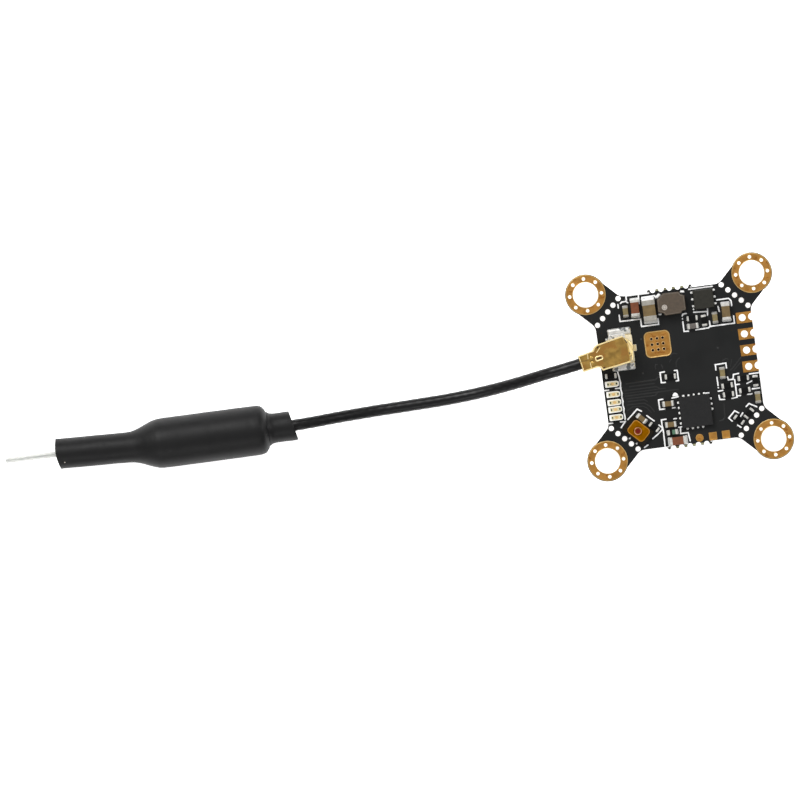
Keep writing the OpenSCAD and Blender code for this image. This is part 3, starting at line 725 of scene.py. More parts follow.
PRINT_W = 0.13
PRINT_LINES = [
    # Upper left, round the large capacitors
    [(-4.2, 7), (-4.2, 7.36), (-4.12, 7.4), (-2, 7.38)],
    [(-4.2, 7.2), (-4.2, 7.04)], [(-5.06, 6.34), (-5.06, 6.68)],
    [(-4.8, 6.76), (-4.66, 6.87), (-4.42, 6.87)], [(-4.3, 6.9), (-4.1, 6.72)],
    [(-3.01, 7.28), (-3.03, 6.5)], [(-2.76, 6.86), (-2.7, 7.04), (-1.46, 7.07), (-1.4, 6.86)],
    [(-5.07, 5.65), (-5.07, 5.05), (-3.1, 5.02), (-3.1, 4.3), (-1.45, 4.3), (-1.45, 4.85)],
    # Upper right, round the regulator and its chips
    [(1.82, 7.22), (4.1, 7.22)], [(1.3, 4.98), (0.97, 4.95), (0.89, 4.8)], [(0.88, 4.53), (0.88, 4.5)],
    [(0.87, 4.24), (0.87, 3.3), (1.3, 3.27)],
    [(2, 3.3), (3.22, 3.33), (3.4, 3.45), (5.75, 3.45), (5.75, 4.15)], [(3.4, 3.5), (3.4, 3.95)],
    [(2.02, 4.99), (3.24, 4.9)], [(3.37, 5.14), (3.3, 4.56)], [(4.4, 5.22), (4.46, 4.74)],
    [(4.35, 5.87), (5.5, 5.87), (5.7, 5.62), (5.7, 5.15)],
    # Beside the lamps
    [(-5.95, 0.38), (-5.86, -0.25), (-5.8, -0.78), (-5.88, -1.25), (-5.8, -1.77), (-5.87, -2.16),
     (-5.8, -2.55), (-5.87, -2.89), (-5.8, -3.23), (-5.87, -3.6), (-5.8, -3.95), (-5.83, -4.3)],
    [(-6.35, -1.25), (-5.82, -1.25)], [(-7.4, -1.3), (-7.02, -1.3)], [(-7.4, -4.48), (-7.05, -4.48)],
    [(-6.3, -4.47), (-5.85, -4.49), (-6.3, -5.02)],
    # Round the small chips in the middle
    [(-1.5, -0.28), (-1.93, -0.3), (-1.93, -1.27), (-1.55, -1.29)],
    [(-0.55, -0.28), (-0.28, -0.3), (-0.28, -1.27), (-0.5, -1.29)],
    [(-2, -2.85), (-2.42, -2.87), (-2.42, -3.78), (-1.95, -3.8)], [(-1.2, -3.8), (-0.96, -3.8)],
    [(-1.95, -4.78), (-2.4, -4.8), (-2.4, -5.4)], [(-1.2, -4.85), (-0.96, -4.85)],
    [(-2.37, -5.5), (-2.35, -6.1)], [(-2.36, -6.2), (-2.38, -7.36)],
    [(-0.86, -5.72), (-0.55, -5.7)], [(-0.69, -5.75), (-0.75, -6.33), (-0.02, -6.33), (0.07, -7.15)],
    # Round the button
    [(-5.57, -4.34), (-4.57, -3.47), (-4.18, -3.72)], [(-3.73, -4.2), (-3.1, -4.8)],
    [(-2.7, -5.24), (-2.42, -5.55), (-2.42, -5.7), (-2.9, -6.1), (-3.45, -6.46)],
    [(-4, -7), (-4.35, -7.2)],
    # Lower right
    [(3.4, -0.75), (3.4, -0.25), (4.42, -0.22), (4.42, -0.7)], [(3.4, -1.45), (3.4, -2.25)],
    [(3.4, -2.45), (3.4, -2.47)], [(3.8, -2.77), (3.35, -2.8)], [(3.36, -3.2), (3.4, -3.6), (3.85, -3.65)],
    [(4.4, -1.55), (4.45, -1.85), (4.9, -1.85), (5, -1.4), (5.5, -1.37)],
    [(5.05, -1.9), (5.05, -3.6), (4.55, -3.65)], [(5.12, -2.4), (5.45, -2.4)], [(5.15, -3.48), (5.4, -3.48)],
    [(6.15, -2.42), (6.65, -2.25)], [(6.1, -3.47), (6.5, -3.47)], [(6.6, -3), (7.3, -3)],
    [(6.5, -1.55), (7.38, -1.55)], [(2.04, -2.82), (2.44, -2.83)],
    [(4.3, -5.8), (4, -5.47), (4.65, -4.85), (5, -5.1)], [(5.4, -5.15), (5.15, -5.45)],
    [(5.8, -4.6), (6.1, -4.35), (6.8, -4.75)], [(4.75, -6.25), (5.05, -6.5)],
]


def low_line(bm, line, widths, top):
    """A low line on the board, with its widths at the foot, near the top and on top."""
    stack(bm, lambda w: stroke(line, w), zip(widths, (FOOT_Z, top - 0.004, top)))


def make_print():
    bm = bmesh.new()
    for i, line in enumerate(PRINT_LINES):
        # Neighbouring lines differ a little in height, so that no faces coincide where they meet
        low_line(bm, line, (PRINT_W, PRINT_W, PRINT_W * 0.86), MASK_Z + 0.011 + 0.0002 * (i % 29))
    # Pin-one mark of the large chip: a half round on a bar
    dome = [(-0.77 + 0.27 * math.cos(a), -2.72 + 0.34 * math.sin(a))
            for a in map(math.radians, range(0, 181, 15))]
    slab(bm, dome, FOOT_Z, MASK_Z + 0.014, 0.004)
    prism(bm, stroke([(-1.12, -2.86), (-0.5, -2.8)], PRINT_W), FOOT_Z, MASK_Z + 0.013)
    new_piece("board_print", bm, [SILK], "led_cream")


# Points and width of each trace that shows under the mask
TRACES = [
    # The bundle beside the lamps
    ([(-5.3, -0.93), (-2.45, -0.93), (-2.15, -0.7)], 0.11), ([(-5, -1.25), (-2.6, -1.25)], 0.11),
    ([(-5.5, -1.57), (-2.5, -1.57), (-2.2, -1.75)], 0.11), ([(-5.5, -1.84), (-1.6, -1.84)], 0.08),
    ([(-5.5, -2.1), (-0.4, -2.12)], 0.11), ([(-5.4, -2.37), (-2.64, -2.4), (-2.45, -2.2)], 0.1),
    ([(-5.3, -2.64), (-3.8, -2.65), (-3.5, -2.85)], 0.1),
    ([(-5.4, -2.95), (-3.8, -2.98), (-3.3, -3.35), (-2.95, -3.9)], 0.1),
    ([(-5.5, -3.5), (-4.95, -3.2), (-4, -3.24), (-3.6, -3.5), (-3.25, -4)], 0.08),
    # Short runs below the thermal pad
    ([(-2.3, 0.12), (-2.32, 0.35), (-2.22, 0.52), (-2.08, 0.5)], 0.1), ([(-1.7, 0.42), (-1.62, 0.08)], 0.1),
    ([(-0.72, 1.05), (-0.66, 1.28), (-0.4, 1.38), (-0.1, 1.28)], 0.1),
    ([(-0.32, 0.05), (-0.28, 0.45), (-0.1, 0.72), (0.08, 0.84)], 0.1), ([(-0.9, 0.6), (-0.7, 0.84)], 0.08),
    # Beside the wire pads and the large chip
    ([(5.95, 0.12), (4.95, -0.85), (4.75, -0.95)], 0.1), ([(5.8, -0.38), (5.1, -1)], 0.1),
    ([(5, 0.05), (4.95, -0.25), (4.8, -0.6)], 0.09), ([(4.15, 0.05), (4.48, 0.2), (4.72, 0.1)], 0.09),
    ([(3.72, -4.05), (3.66, -5.35), (3.45, -5.58), (3.1, -5.62)], 0.11),
]
CAPPED_VIAS = [(-3.55, -0.15), (-3.3, 3.1), (3.85, 1.3)]


def make_traces():
    """Copper traces and mask-covered vias that show as low ridges in the black mask."""
    bm = bmesh.new()
    for i, (line, width) in enumerate(TRACES):
        low_line(bm, line, (width + 0.03, width, width * 0.8), MASK_Z + 0.01 + 0.0002 * (i % 9))
    for x, y in CAPPED_VIAS:
        drop(bm, x, y, MASK_Z, 0.1, 0.015, 1)
    new_piece("mask_traces", bm, [TRACE, VIA_CAP], "solder_mask")


RING_AT = [(sx * 8, sy * 8) for sx in (-1, 1) for sy in (-1, 1)]
RING_VIA_R = 1.53
THERMAL_AT = (-1.79, 2.45)
THERMAL_VIA_STEP = 0.54
WIRE_PAD_X, WIRE_PAD_Y, WIRE_PAD_STEP = 6.55, 3.87, 1.567
TEST_PAD_Y = -6.98


def make_plating_edges():
    """Raised edges of the plated rings and pads and of the holes in them, paler with painted highlight; the
    thermal pad's vias also get a ring of painted shade.
    """
    bm = bmesh.new()
    rise = 0.004

    def annulus(x, y, inner, outer, sides, mat=0):
        section = ((inner, -0.01), (inner, rise), (outer - 0.015, rise), (outer, -0.003))
        turning(bm, x, y, sides, section, mat, OPEN, PAD_Z)

    def border(x, y, side, r, width, mat=0):
        section = ((0.005, -0.01), (0.012, rise), (width - 0.01, rise), (width, -0.003))
        stack(bm, lambda d: moved(rounded_rect(side - 2 * d, side - 2 * d, max(0.01, r - d)), x, y),
              section, mat, OPEN, PAD_Z)

    for x, y in RING_AT:
        annulus(x, y, 1.205, 1.27, 64)
        annulus(x, y, 1.85, 1.918, 64)
        for via in circle(RING_VIA_R, 8, x, y):
            annulus(*via, 0.152, 0.215, 24)
    border(*THERMAL_AT, 2.5, 0.5, 0.1)
    for i in (-1, 0, 1):
        for j in (-1, 0, 1):
            x, y = THERMAL_AT[0] + THERMAL_VIA_STEP * i, THERMAL_AT[1] + THERMAL_VIA_STEP * j
            # Painted shade inside each via, and round it a pale lip of painted highlight
            annulus(x, y, 0.088, 0.137, 18, 3)
            annulus(x, y, 0.128, 0.17, 18, 2)
    annulus(1, TEST_PAD_Y, 0.31, 0.372, 32, 1)
    for x in (2.29, 3.54):
        border(x, TEST_PAD_Y, 0.76, 0.03, 0.07, 1)
    for k in range(4):
        annulus(WIRE_PAD_X, WIRE_PAD_Y - WIRE_PAD_STEP * k, 0.332, 0.365, 32)
    new_piece("plating_edges", bm, [GOLD_EDGE_HIGHLIGHT, PAD_EDGE_HIGHLIGHT, VIA_LIP_HIGHLIGHT, VIA_PAINTED_SHADE], "gold_pad")


TAB_COUNT, TAB_STEP = 6, 0.8
TAB_EDGE_Y = 7.5
TAB_SHAPE = [(-0.2, -0.04), (0.2, -0.04), (0.15, 0.03), (0.115, 0.1), (0.1, 0.16), (0.03, 0.185),
             (-0.06, 0.17), (-0.11, 0.13), (-0.125, 0.08), (-0.15, 0.02)]


def make_torn_tabs():
    """Rough fibreglass on the teeth where the panel tabs were broken off; the outermost ones are darker."""
    bm = bmesh.new()
    for side in (-1, 1):
        for k in range(TAB_COUNT):
            x, y = (k - (TAB_COUNT - 1) / 2) * TAB_STEP, side * TAB_EDGE_Y
            outline = []
            for px, py in TAB_SHAPE:
                wobble = 0.03 * noise.noise(Vector((x * 3.1 + px * 9, side * 4 + py * 9, 0)))
                outline.append((x + px + wobble, y + side * (py + wobble)))
            if side < 0:
                outline.reverse()
            levels = ((0.01, 0.25), (0, 0.5), (-0.006, 0.93), (0.012, MASK_Z + 0.008))
            stack(bm, lambda d: inset(outline, d), levels, int(k in (0, TAB_COUNT - 1)))
    new_piece("torn_tabs", bm, [FIBRE, SHADED_FIBRE], "solder_mask")


# ---- chips

def bar(bm, place, x0, x1, width, low, high, mat, edge=0.03, corner=0.04, y=0):
    """A rounded block between x0 and x1 in the chip's own frame."""
    block(bm, place, (x0 + x1) / 2, y, (abs(x1 - x0), width), corner,
          ((0, low), (0, high - edge), (edge * 0.13, high - edge * 0.5), (edge * 0.5, high - edge * 0.13),
           (edge, high)), mat)


def fillet(bm, place, x_end, reach, width, height, mat):
    """Solder that slopes up from a pad to the end of a chip."""
    away = math.copysign(1, x_end)
    reach += 0.03 * noise.noise(Vector((place[0] * 3, place[1] * 3, x_end * 9)))
    inner = x_end - away * 0.12
    rings = []
    for t in (0, 0.15, 0.35, 0.6, 0.85, 1):
        outer = x_end + away * reach * (1 - t)
        w = width * (1 - 0.16 * t)
        shape = rounded_rect(abs(outer - inner), w, min(0.05 + 0.05 * (1 - t), w / 3), 3)
        shape = turned(moved(shape, (inner + outer) / 2, 0), *place)
        rings.append(level(shape, MASK_Z - 0.005 + height * t ** 1.6))
    loft(bm, rings, mat)


def metal_ends(bm, place, inner, outer, width, top, mat, solder, edge=0.06):
    """Both metal ends of a chip, with solder (reach, width, height) in the next material."""
    for side in (-1, 1):
        bar(bm, place, side * inner, side * outer, width, MASK_Z, top, mat, edge, 0.06)
        fillet(bm, place, side * outer, *solder, mat + 1)


CASES = {
    # Length, width, metal end, reach and width of the solder
    "0402": (1, 0.54, 0.21, 0.07, 0.56),
    "0603": (1.6, 0.82, 0.29, 0.16, 0.9),
    "0805": (2, 1.25, 0.5, 0.26, 1.28),
}
CAPACITORS = [
    # Middle, turn, case, ceramic
    (-4.43, 5.92, 90, "0402", LIGHT_TAN), (-3.49, 6.15, 90, "0603", BROWN), (-2.17, 5.72, 90, "0805", TAN),
    (5.08, 4.65, 90, "0603", TAN), (3.97, 4.22, 90, "0402", LIGHT_TAN), (1.77, 3.7, 0, "0402", GREY_CERAMIC),
    (-4.25, -4.42, -45, "0402", TAN), (-1.56, -3.35, 0, "0402", TAN), (-1.56, -5.35, 0, "0402", TAN),
    (-1.09, -6.99, 0, "0603", BROWN), (3.97, -1.12, 90, "0402", LIGHT_TAN),
    (7.02, -3.87, 90, "0402", LIGHT_TAN),
]
RESISTORS = [
    # Middle, turn
    (1.8, 4.45, 0), (2.89, 4.09, 90), (-6.63, 0, 0), (-1, -0.8, 0), (-3.18, -5.38, -45), (4.28, -2.37, 0),
    (4.28, -3.22, 0), (5.9, -1.87, 0), (5.88, -3.03, 0), (7, -2.28, 90), (4.97, -5.76, -45),
    (5.98, -5.28, 45),
]

# The capacitors whose metal ends look grey
DULL_ENDED = (1, 3, 5, 11, 12)


def make_capacitors():
    for i, (x, y, turn, case, finish) in enumerate(CAPACITORS, 1):
        length, width, end, reach, solder_w = CASES[case]
        half = length / 2
        top = heights(f"capacitor_{i}")[1]
        place = (x, y, turn + random.uniform(-1.5, 1.5))
        bm = bmesh.new()
        bar(bm, place, -half + end * 0.4, half - end * 0.4, width - 0.04, MASK_Z + 0.02, top - 0.02, 0, 0.05)
        metal_ends(bm, place, half - end, half, width, top, 1, (reach, solder_w, (top - MASK_Z) * 0.75))
        ends = DULL_TIN if i in DULL_ENDED else TIN
        slot = "ceramic_brown" if finish is BROWN else "ceramic_tan"
        new_piece(f"ceramic_capacitor_{i}", bm, [finish, ends, SOLDER], slot, f"capacitor_{i}")


def make_resistors():
    for i, (x, y, turn) in enumerate(RESISTORS, 1):
        top = heights(f"resistor_{i}")[1]
        place = (x, y, turn + random.uniform(-2, 2))
        bm = bmesh.new()
        bar(bm, place, -0.47, 0.47, 0.46, MASK_Z + 0.02, top - 0.09, 1, 0.02)
        bar(bm, place, -0.34, 0.34, 0.47, MASK_Z + 0.03, top, 0, 0.02, 0.05)
        metal_ends(bm, place, 0.31, 0.5, 0.49, top + 0.005, 2, (0.05, 0.52, (top - MASK_Z) * 0.75))
        new_piece(f"chip_resistor_{i}", bm, [BLACK_GLAZE, ALUMINA, TIN, JOINT], "resistor_black",
                  f"resistor_{i}")


def make_diode():
    top = heights("diode")[1]
    place = (-1.5, -6.1, 0)
    bm = bmesh.new()
    bar(bm, place, -0.42, 0.42, 0.48, MASK_Z + 0.03, top - 0.06, 0, 0.04)
    bar(bm, place, -0.03, 0.27, 0.46, top - 0.1, top, 1, 0.03)
    metal_ends(bm, place, 0.25, 0.48, 0.5, top - 0.03, 2, (0.08, 0.52, 0.3), 0.05)
    new_piece("small_diode", bm, [BLACK_GLAZE, DIODE_GREEN, TIN, JOINT], "diode_body", "diode")


LED_X = -6.63
LED_YS = (-0.78, -1.77, -2.55, -3.23, -3.99)


def make_lamps():
    half_l, half_w = 0.65, 0.29
    for i, y in enumerate(LED_YS, 1):
        top = heights(f"led_{i}")[1]
        place = (LED_X, y, random.uniform(-1, 1))

        def shape(d):
            """A D-shaped outline, square at the left and round at the right, inset by d."""
            bow = half_w - d
            # The frame's wall is wider at the left
            left = -half_l + (d if d < 0.03 else d + 0.1)
            arc = [(half_l - d - bow * 0.85 * (1 - math.cos(a)), bow * math.sin(a))
                   for a in map(math.radians, range(-90, 91, 15))]
            corners = [(left + 0.04, bow), (left, bow - 0.04), (left, -bow + 0.04), (left + 0.04, -bow)]
            return turned(arc + corners, *place)

        bm = bmesh.new()
        stack(bm, shape, ((0, MASK_Z), (0, top - 0.04), (0.02, top), (0.075, top), (0.085, top - 0.03),
                          (0.09, top - 0.1)))
        stack(bm, shape, ((0.084, -0.1), (0.086, -0.035), (0.11, -0.022), (0.16, -0.018)), 1, base=top)
        tint = [(dx * 0.72 + 0.03, dy * 0.55) for dx, dy in circle(0.24, 20)]
        prism(bm, turned(tint, *place), top - 0.05, top - 0.014, 4)
        # Green mask at both ends; the first lamp shows some in the middle too
        for dx, size in [(-0.37, 0.075), (0.44, 0.08), (-0.1, 0.05)][:3 if i == 1 else 2]:
            blot = [(px + dx, py * 1.15) for px, py in rounded_rect(size * 2, size * 2, size * 0.7)]
            prism(bm, turned(blot, *place), top - 0.05, top - 0.01, 2)
        for side in (-1, 1):
            fillet(bm, place, side * 0.6, 0.08, 0.46, 0.2, 3)
        new_piece(f"lamp_{i}", bm, [LED_FRAME, LED_GEL, LED_GREEN, SOLDER, LED_TINT], "led_cream", f"led_{i}")


CHOKE = [(-1.36, 5.42), (-0.84, 5.27), (-0.7, 5.03), (0.78, 5.05), (0.97, 5.27), (1.34, 5.31), (1.34, 6.73),
         (0.98, 6.87), (0.84, 7.14), (-0.68, 7.16), (-1.32, 6.62)]
CHOKE_MARK_AT = (-0.68, 5.82)


def make_inductor():
    top = heights("power_inductor")[1]

    def shape(d):
        return rounded(inset(CHOKE, d), 0.05, 2)

    bm = bmesh.new()
    stack(bm, shape, ((0.12, MASK_Z), (0.1, MASK_Z + 0.12), (0.02, MASK_Z + 0.18), (0, MASK_Z + 0.26),
                      (0, top - 0.12), (0.015, top - 0.05), (0.05, top - 0.01), (0.1, top)))
    # Bevel round the top, paler with painted highlight, then the pale round mark with a dark band in it
    bevel = ((0.075, -0.006), (0.085, 0.003), (0.125, 0.003), (0.135, -0.006))
    stack(bm, shape, bevel, 3, OPEN, top)
    mark = ((0.27, -0.02), (0.26, 0.006), (0.2, 0.012), (0.165, 0.002), (0.15, 0), (0.14, 0.004),
            (0.02, 0.012))
    turning(bm, *CHOKE_MARK_AT, 32, mark, 1, base=top)
    band = ((0.175, 0), (0.17, 0.008), (0.145, 0.008), (0.14, 0))
    turning(bm, *CHOKE_MARK_AT, 24, band, 0, OPEN, top)
    # Solder at three of the corners
    puddle = ((0, -0.005), (0.02, 0.05), (0.05, 0.09), (0.09, 0.12))
    for x, y, turn, w, l in ((-1.16, 6.97, 42, 0.52, 0.34), (1.18, 7.08, -6, 0.44, 0.24),
                             (-1.2, 5.25, 0, 0.36, 0.22)):
        block(bm, (x, y, turn), 0, 0, (w, l), 0.1, puddle, 2, MASK_Z)
    new_piece("moulded_choke", bm, [FERRITE, GREY_DOT, JOINT, FERRITE_EDGE_HIGHLIGHT], "choke_body", "power_inductor")


def make_regulator():
    top = heights("voltage_regulator")[1]
    x, y = 3.12, 6.13
    place = (x, y, 0)
    bm = bmesh.new()
    block(bm, place, 0, 0, (1.92, 1.84), 0.12,
          ((0.07, MASK_Z + 0.03), (0.02, MASK_Z + 0.3), (0, MASK_Z + 0.36), (0.03, top - 0.05),
           (0.055, top - 0.01), (0.09, top)))
    turning(bm, 2.5, 6.72, 24, ((0.13, -0.01), (0.125, 0.003), (0.1, 0.002), (0.08, -0.012)), base=top)
    for side in (-1, 1):
        for along in (-0.56, 0.09, 0.74):
            bar(bm, place, side * 0.88, side * 1.05, 0.2, MASK_Z, MASK_Z + 0.16, 1, 0.03, 0.03, along)
            drop(bm, x + side * 1.08, y + along, FOOT_Z, 0.115, 0.13, 2)
    drop(bm, x - 1.08, y - 0.86, FOOT_Z, 0.085, 0.08, 2)
    new_piece("regulator_chip", bm, [GREY_EPOXY, TIN, JOINT], "chip_package", "voltage_regulator")


MCU_AT = (0.98, -4.38)


def make_controller():
    top = heights("microcontroller")[1]
    x, y = MCU_AT
    bm = bmesh.new()
    block(bm, (x, y, 0), 0, 0, (3, 3), 0.06,
          ((0.02, MASK_Z + 0.02), (0, MASK_Z + 0.05), (0, top - 0.03), (0.012, top - 0.008), (0.035, top)))
    dimple = ((0.17, -0.01), (0.165, 0.002), (0.14, 0.001), (0.12, -0.01), (0.1, -0.014))
    turning(bm, x - 1.12, y + 1.12, 24, dimple, base=top)
    for quarter in range(4):
        place = (x, y, 90 * quarter)
        for k in range(-2, 3):
            # The joints at the lower right corner carry little solder
            starved = (quarter == 0 and k < 0) or (quarter == 3 and k == 2)
            (px, py), = turned([(1.56, k * 0.5)], *place)
            if starved:
                drop(bm, px, py, FOOT_Z, 0.06, 0.03, 3)
            else:
                bar(bm, place, 1.42, 1.53, 0.16, MASK_Z, MASK_Z + 0.14, 1, 0.02, 0.03, k * 0.5)
                drop(bm, px, py, FOOT_Z, random.uniform(0.112, 0.138), 0.12, 2)
    new_piece("controller_chip", bm, [EPOXY, TIN, JOINT, GREY_EPOXY], "chip_package", "microcontroller")


# ---- button

BUTTON_AT = (-4.76, -5.56)
BUTTON_TURN = -45
KEY_TRAVEL = 0.15


def in_button(points):
    return turned(points, *BUTTON_AT, BUTTON_TURN)


def outlines(bm, rows, mat=0, caps=(True, True)):
    """A skin over outlines in the button's frame; rows are (outline, height) pairs."""
    stack(bm, in_button, rows, mat, caps)


def make_button():
    base_top = heights("button_base")[1]
    film_top = heights("button_film")[1]
    key_low, key_high = heights("button_key")

    # Base with a round well; the well has a point for each point of the outline
    outer = rounded_rect(2.6, 1.8, 0.16, 9)
    well = [(0.62 * math.cos(a), 0.62 * math.sin(a)) for a in (math.atan2(py, px) for px, py in outer)]
    bm = bmesh.new()
    outlines(bm, [(inset(outer, 0.04), MASK_Z), (outer, MASK_Z + 0.06), (outer, base_top - 0.05),
                  (inset(outer, 0.05), base_top), (well, base_top), (well, MASK_Z + 0.1)])
    new_piece("button_body", bm, [SWITCH], "button_black", "button_base")

    # Two tinned terminals on the lower left side, each with its solder
    place = (*BUTTON_AT, BUTTON_TURN)
    terminal = ((0, 0), (0, 0.1), (0.02, 0.13))
    solder = ((0, -0.005), (0.02, 0.04), (0.05, 0.06))
    bm = bmesh.new()
    for along in (-0.2, 0.62):
        block(bm, place, along, -0.92, (0.16, 0.2), 0.04, terminal, 0, MASK_Z)
        block(bm, place, along, -1.02, (0.2, 0.16), 0.06, solder, 1, MASK_Z)
    new_piece("button_terminals", bm, [STEEL, JOINT], "spring_steel")

    # Film over the key, drawn up a little round its hole
    outer = moved(rounded_rect(1.93, 1.48, 0.36, 9), 0.04, 0.06)
    angles = [math.atan2(py, px) for px, py in outer]

    def hole(r):
        return [(r * math.cos(a), r * math.sin(a)) for a in angles]

    def between(t):
        """An outline that lies between the hole's edge, at t = 0, and the film's, at t = 1."""
        pairs = zip(outer, hole(0.5))
        return [(ox * t + hx * (1 - t), oy * t + hy * (1 - t)) for (ox, oy), (hx, hy) in pairs]

    bm = bmesh.new()
    shoulder = (inset(outer, 0.09), film_top - 0.012)
    outlines(bm, [(hole(0.41), base_top), (outer, base_top), (outer, base_top + 0.03),
                  (inset(outer, 0.05), film_top - 0.02), shoulder], 1, OPEN)
    outlines(bm, [shoulder, (between(0.6), film_top - 0.006), (between(0.3), film_top + 0.015),
                  (hole(0.5), film_top + 0.04), (hole(0.44), film_top + 0.04), (hole(0.41), film_top + 0.02),
                  (hole(0.41), base_top)], 0, OPEN)
    new_piece("button_sheet", bm, [FILM, FILM_EDGE], "amber_film", "button_film")

    # Spring under the key, low enough to stay clear when the key is down
    dome_low = heights("button_dome")[0]
    thick = 0.04
    rise = key_low - KEY_TRAVEL - 0.01 - dome_low - thick
    dome = [(r, rise * (1 - (r / 0.56) ** 2)) for r in (0.03, 0.12, 0.22, 0.32, 0.42, 0.5, 0.55)]
    bm = bmesh.new()
    turning(bm, *BUTTON_AT, 32, dome + [(r, z + thick) for r, z in reversed(dome)], base=dome_low)
    new_piece("button_spring", bm, [STEEL], "spring_steel", "button_dome")

    # Key: a rim round a dished centre, on a flange that the film holds in
    bm = bmesh.new()
    flange = ((0.47, key_low), (0.51, key_low + 0.01), (0.51, key_low + 0.05), (0.38, key_low + 0.06),
              (0.38, key_high - 0.05), (0.37, key_high - 0.01))
    turning(bm, *BUTTON_AT, 40, flange, 2, (True, False))
    rim = ((0.37, -0.01), (0.345, 0), (0.32, 0), (0.3, -0.01))
    slope = ((0.3, -0.01), (0.26, -0.04), (0.23, -0.055))
    centre = ((0.23, -0.055), (0.2, -0.06), (0.12, -0.05), (0.05, -0.045))
    for levels, mat, last in ((rim, 0, False), (slope, 2, False), (centre, 1, True)):
        turning(bm, *BUTTON_AT, 40, levels, mat, (False, last), key_high)
    new_piece("push_key", bm, [KEY_RIM, KEY_RED, FILM], "key_red", "button_key", body="button")


# ---- socket

def make_socket():
    """The antenna socket; its heights are above the board's underside."""
    x, y = SOCKET_AT
    bm = bmesh.new()
    # Barrel with a groove that the plug snaps into
    wall = ((0.9, 1.15), (0.98, 1.15), (1, 1.2), (1, 1.55), (0.955, 1.62), (0.955, 1.8), (1, 1.87),
            (1, 2.14), (0.97, 2.22), (0.94, 2.25), (0.91, 2.22), (0.9, 2.15), (0.9, 1.15))
    turning(bm, x, y, 48, wall, 0, OPEN)
    for side in (-1, 1):
        slab(bm, moved(rounded_rect(2.16, 0.9, 0.12), x, y + side * 1.5), MASK_Z + 0.01, MASK_Z + 0.17, 0.04)
        slab(bm, moved(rounded_rect(1.2, 0.43, 0.08), x, y + side * 1.12), MASK_Z + 0.12, 1.3, 0.05)
        # Solder that has run over the land and up against the base
        block(bm, (x, y, 0), 0, side * 1.68, (2.24, 0.74), 0.14,
              ((0, -0.005), (0.01, 0.05), (0.04, 0.12), (0.09, 0.18), (0.16, 0.215), (0.24, 0.23)), 1, MASK_Z)
    block(bm, (x, y, 0), -0.3, 1.24, (1.6, 0.5), 0.1, ((0, 1), (0, 1.33), (0.03, 1.36), (0.08, 1.37)), 1)
    drop(bm, x - 1.22, y + 1.08, FOOT_Z, 0.2, 0.16, 1)
    drop(bm, x - 1.02, y + 1.87, MASK_Z + 0.1, 0.13, 0.13, 1)
    new_piece("socket_metal", bm, [PALE_GOLD, LAND_SOLDER], "gold_plate", "socket_shell")

    bm = bmesh.new()
    slab(bm, moved(rounded_rect(2.3, 2.6, 0.1, 3), x, y), MASK_Z + 0.01, 1.33, 0.05)
    turning(bm, x, y, 40, ((0.88, 1.3), (0.88, 1.5), (0.8, 1.56), (0.42, 1.56), (0.36, 1.5), (0.36, 1.3)))
    new_piece("socket_base", bm, [CREAM], "cream_plastic", "socket_insulator")

    bm = bmesh.new()
    turning(bm, x, y, 24, ((0.25, 1.3), (0.25, 1.95), (0.2, 2.06), (0.1, 2.1)))
    tab = moved(rounded_rect(0.5, 0.62, 0.08), x + 1.19, y - 0.02)
    slab(bm, tab, MASK_Z + 0.01, MASK_Z + 0.14, 0.03)
    slab(bm, inset(tab, -0.02), MASK_Z - 0.005, MASK_Z + 0.06, 0.04, 1)
    new_piece("socket_signal_pin", bm, [PALE_GOLD, SOLDER], "gold_plate", "socket_pin")


# ---- underside

UNDER_CHIPS = [
    # CAD node, middle, size, joints along the long sides
    ("motion_sensor", (1.2, -5.4), (3, 2.5), 7), ("radio_chip", (2.3, 0.3), (5, 5), 8),
    ("power_amplifier", THERMAL_AT, (3, 3), 4),
]
CRYSTAL_AT = (-1.9, -1.5, 0)


def make_underside():
    for name, (x, y), (w, l), joints in UNDER_CHIPS:
        low, high = heights(name)
        bm = bmesh.new()
        block(bm, (x, y, 0), 0, 0, (w - 0.04, l - 0.04), 0.08,
              ((0, high), (0, high - 0.18), (0.02, high - 0.2), (0.02, low + 0.06), (0.035, low + 0.02),
               (0.07, low)))
        dimple = ((0.15, 0.01), (0.145, 0), (0.12, 0.004), (0.1, 0.02))
        turning(bm, x - w / 2 + 0.4, y + l / 2 - 0.4, 24, dimple, base=low)
        for side in (-1, 1):
            for k in range(joints):
                along = (k - (joints - 1) / 2) * (w - 0.5) / joints
                place = (x + along, y + side * (l / 2 - 0.03), 90)
                bar(bm, place, -0.03, 0.03, 0.2, UNDER_Z - 0.14, UNDER_Z, 1, 0.015, 0.02)
        new_piece(f"{name}_case", bm, [EPOXY, JOINT], "chip_package", name)

    # Crystal: a plated lid on a ceramic tray
    low, high = heights("crystal")
    bm = bmesh.new()
    block(bm, CRYSTAL_AT, 0, 0, (1.98, 1.58), 0.1, ((0, high), (0, low + 0.15), (0.03, low + 0.12)))
    block(bm, CRYSTAL_AT, 0, 0, (1.76, 1.36), 0.14, ((0, 0.14), (0, 0.03), (0.02, 0.01), (0.05, 0)), 1, low)
    new_piece("crystal_case", bm, [GREY_CERAMIC, STEEL], "crystal_lid", "crystal")


# ---- make it

make_print()
make_traces()
make_plating_edges()
make_torn_tabs()
make_capacitors()
make_resistors()
make_diode()
make_lamps()
make_inductor()
make_regulator()
make_controller()
make_button()
make_socket()
make_underside()

NODE_FINISH = {
    "pcb": MASK, "mounting_rings": FLASH_GOLD, "corner_vias": VIA_RIM, "wire_pads": FLASH_GOLD,
    "thermal_pad": FLASH_GOLD, "test_pads": FLASH_GOLD, "shield_can": STEEL,
    "plug_insulator": WHITE_POLYMER, "plug_contact": BRIGHT_GOLD, "ground_tube": BRASS,
}
for node_name, finish in NODE_FINISH.items():
    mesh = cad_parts[node_name].data
    mesh.materials.clear()
    mesh.materials.append(finish)


# ---- floor and light

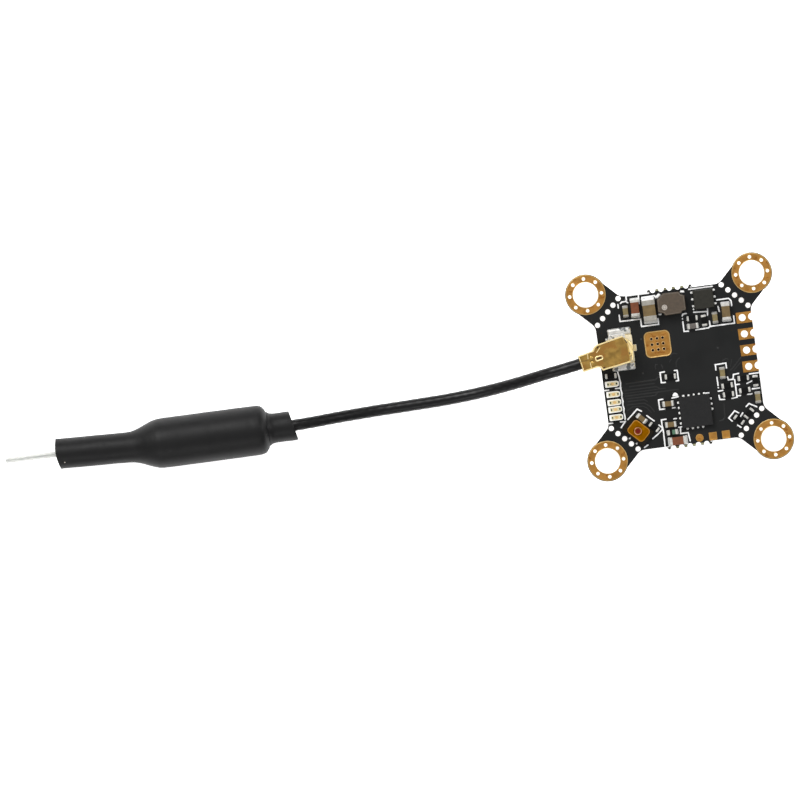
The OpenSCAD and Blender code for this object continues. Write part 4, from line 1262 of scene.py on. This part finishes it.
def make_floor():
    material, tree, shader = node_material("white_table")
    tone = ramp(tree, mottle(tree, 0.02, 3), [(0.3, (0.9, 0.9, 0.9)), (0.7, (0.93, 0.93, 0.93))])
    feed(tree, shader, {"Base Color": tone, "Roughness": 0.8, "Specular IOR Level": 0,
                        "Emission Color": (1, 1, 1, 1), "Emission Strength": 0.85})
    mesh = bpy.data.meshes.new("floor")
    reach = 0.6
    corners = [(reach * sx, reach * sy, FLOOR_Z * MM) for sx, sy in ((-1, -1), (1, -1), (1, 1), (-1, 1))]
    mesh.from_pydata(corners, [], [(0, 1, 2, 3)])
    mesh.materials.append(material)
    floor = link_object("floor", mesh)


LIGHT_AIM = Vector((-0.02, 0, 0))
LIGHT_DISTANCE = 0.5


def make_light(name, azimuth, elevation, size, energy):
    data = bpy.data.lights.new(name, "AREA")
    data.shape = "RECTANGLE"
    data.size, data.size_y = size
    data.energy = energy
    lamp = link_object(name, data)
    a, e = math.radians(azimuth), math.radians(elevation)
    away = Vector((math.cos(e) * math.cos(a), math.cos(e) * math.sin(a), math.sin(e)))
    lamp.location = LIGHT_AIM + away * LIGHT_DISTANCE
    lamp.rotation_euler = away.to_track_quat("Z", "Y").to_euler()


def make_world():
    world = bpy.data.worlds.new("studio")
    bpy.context.scene.world = world
    world.use_nodes = True
    tree = world.node_tree
    coords = tree.nodes.new("ShaderNodeTexCoord").outputs["Generated"]
    parts = add_node(tree, "ShaderNodeSeparateXYZ", {"Vector": coords})
    # Grey levels, brightest straight up
    sky = ramp(tree, parts.outputs["Z"], [(at, (grey, grey, grey)) for at, grey in
                                          ((0, 0.3), (0.5, 0.34), (0.8, 0.6), (1, 0.72))])
    feed(tree, tree.nodes["Background"], {"Color": sky, "Strength": 0.9})


make_floor()
make_world()
make_light("key_softbox", 115, 48, (0.3, 0.2), 1.9)
make_light("side_softbox", 20, 35, (0.2, 0.3), 0.8)
make_light("rim_softbox", 250, 40, (0.4, 0.12), 0.6)
bpy.context.scene.view_settings.view_transform = "Standard"
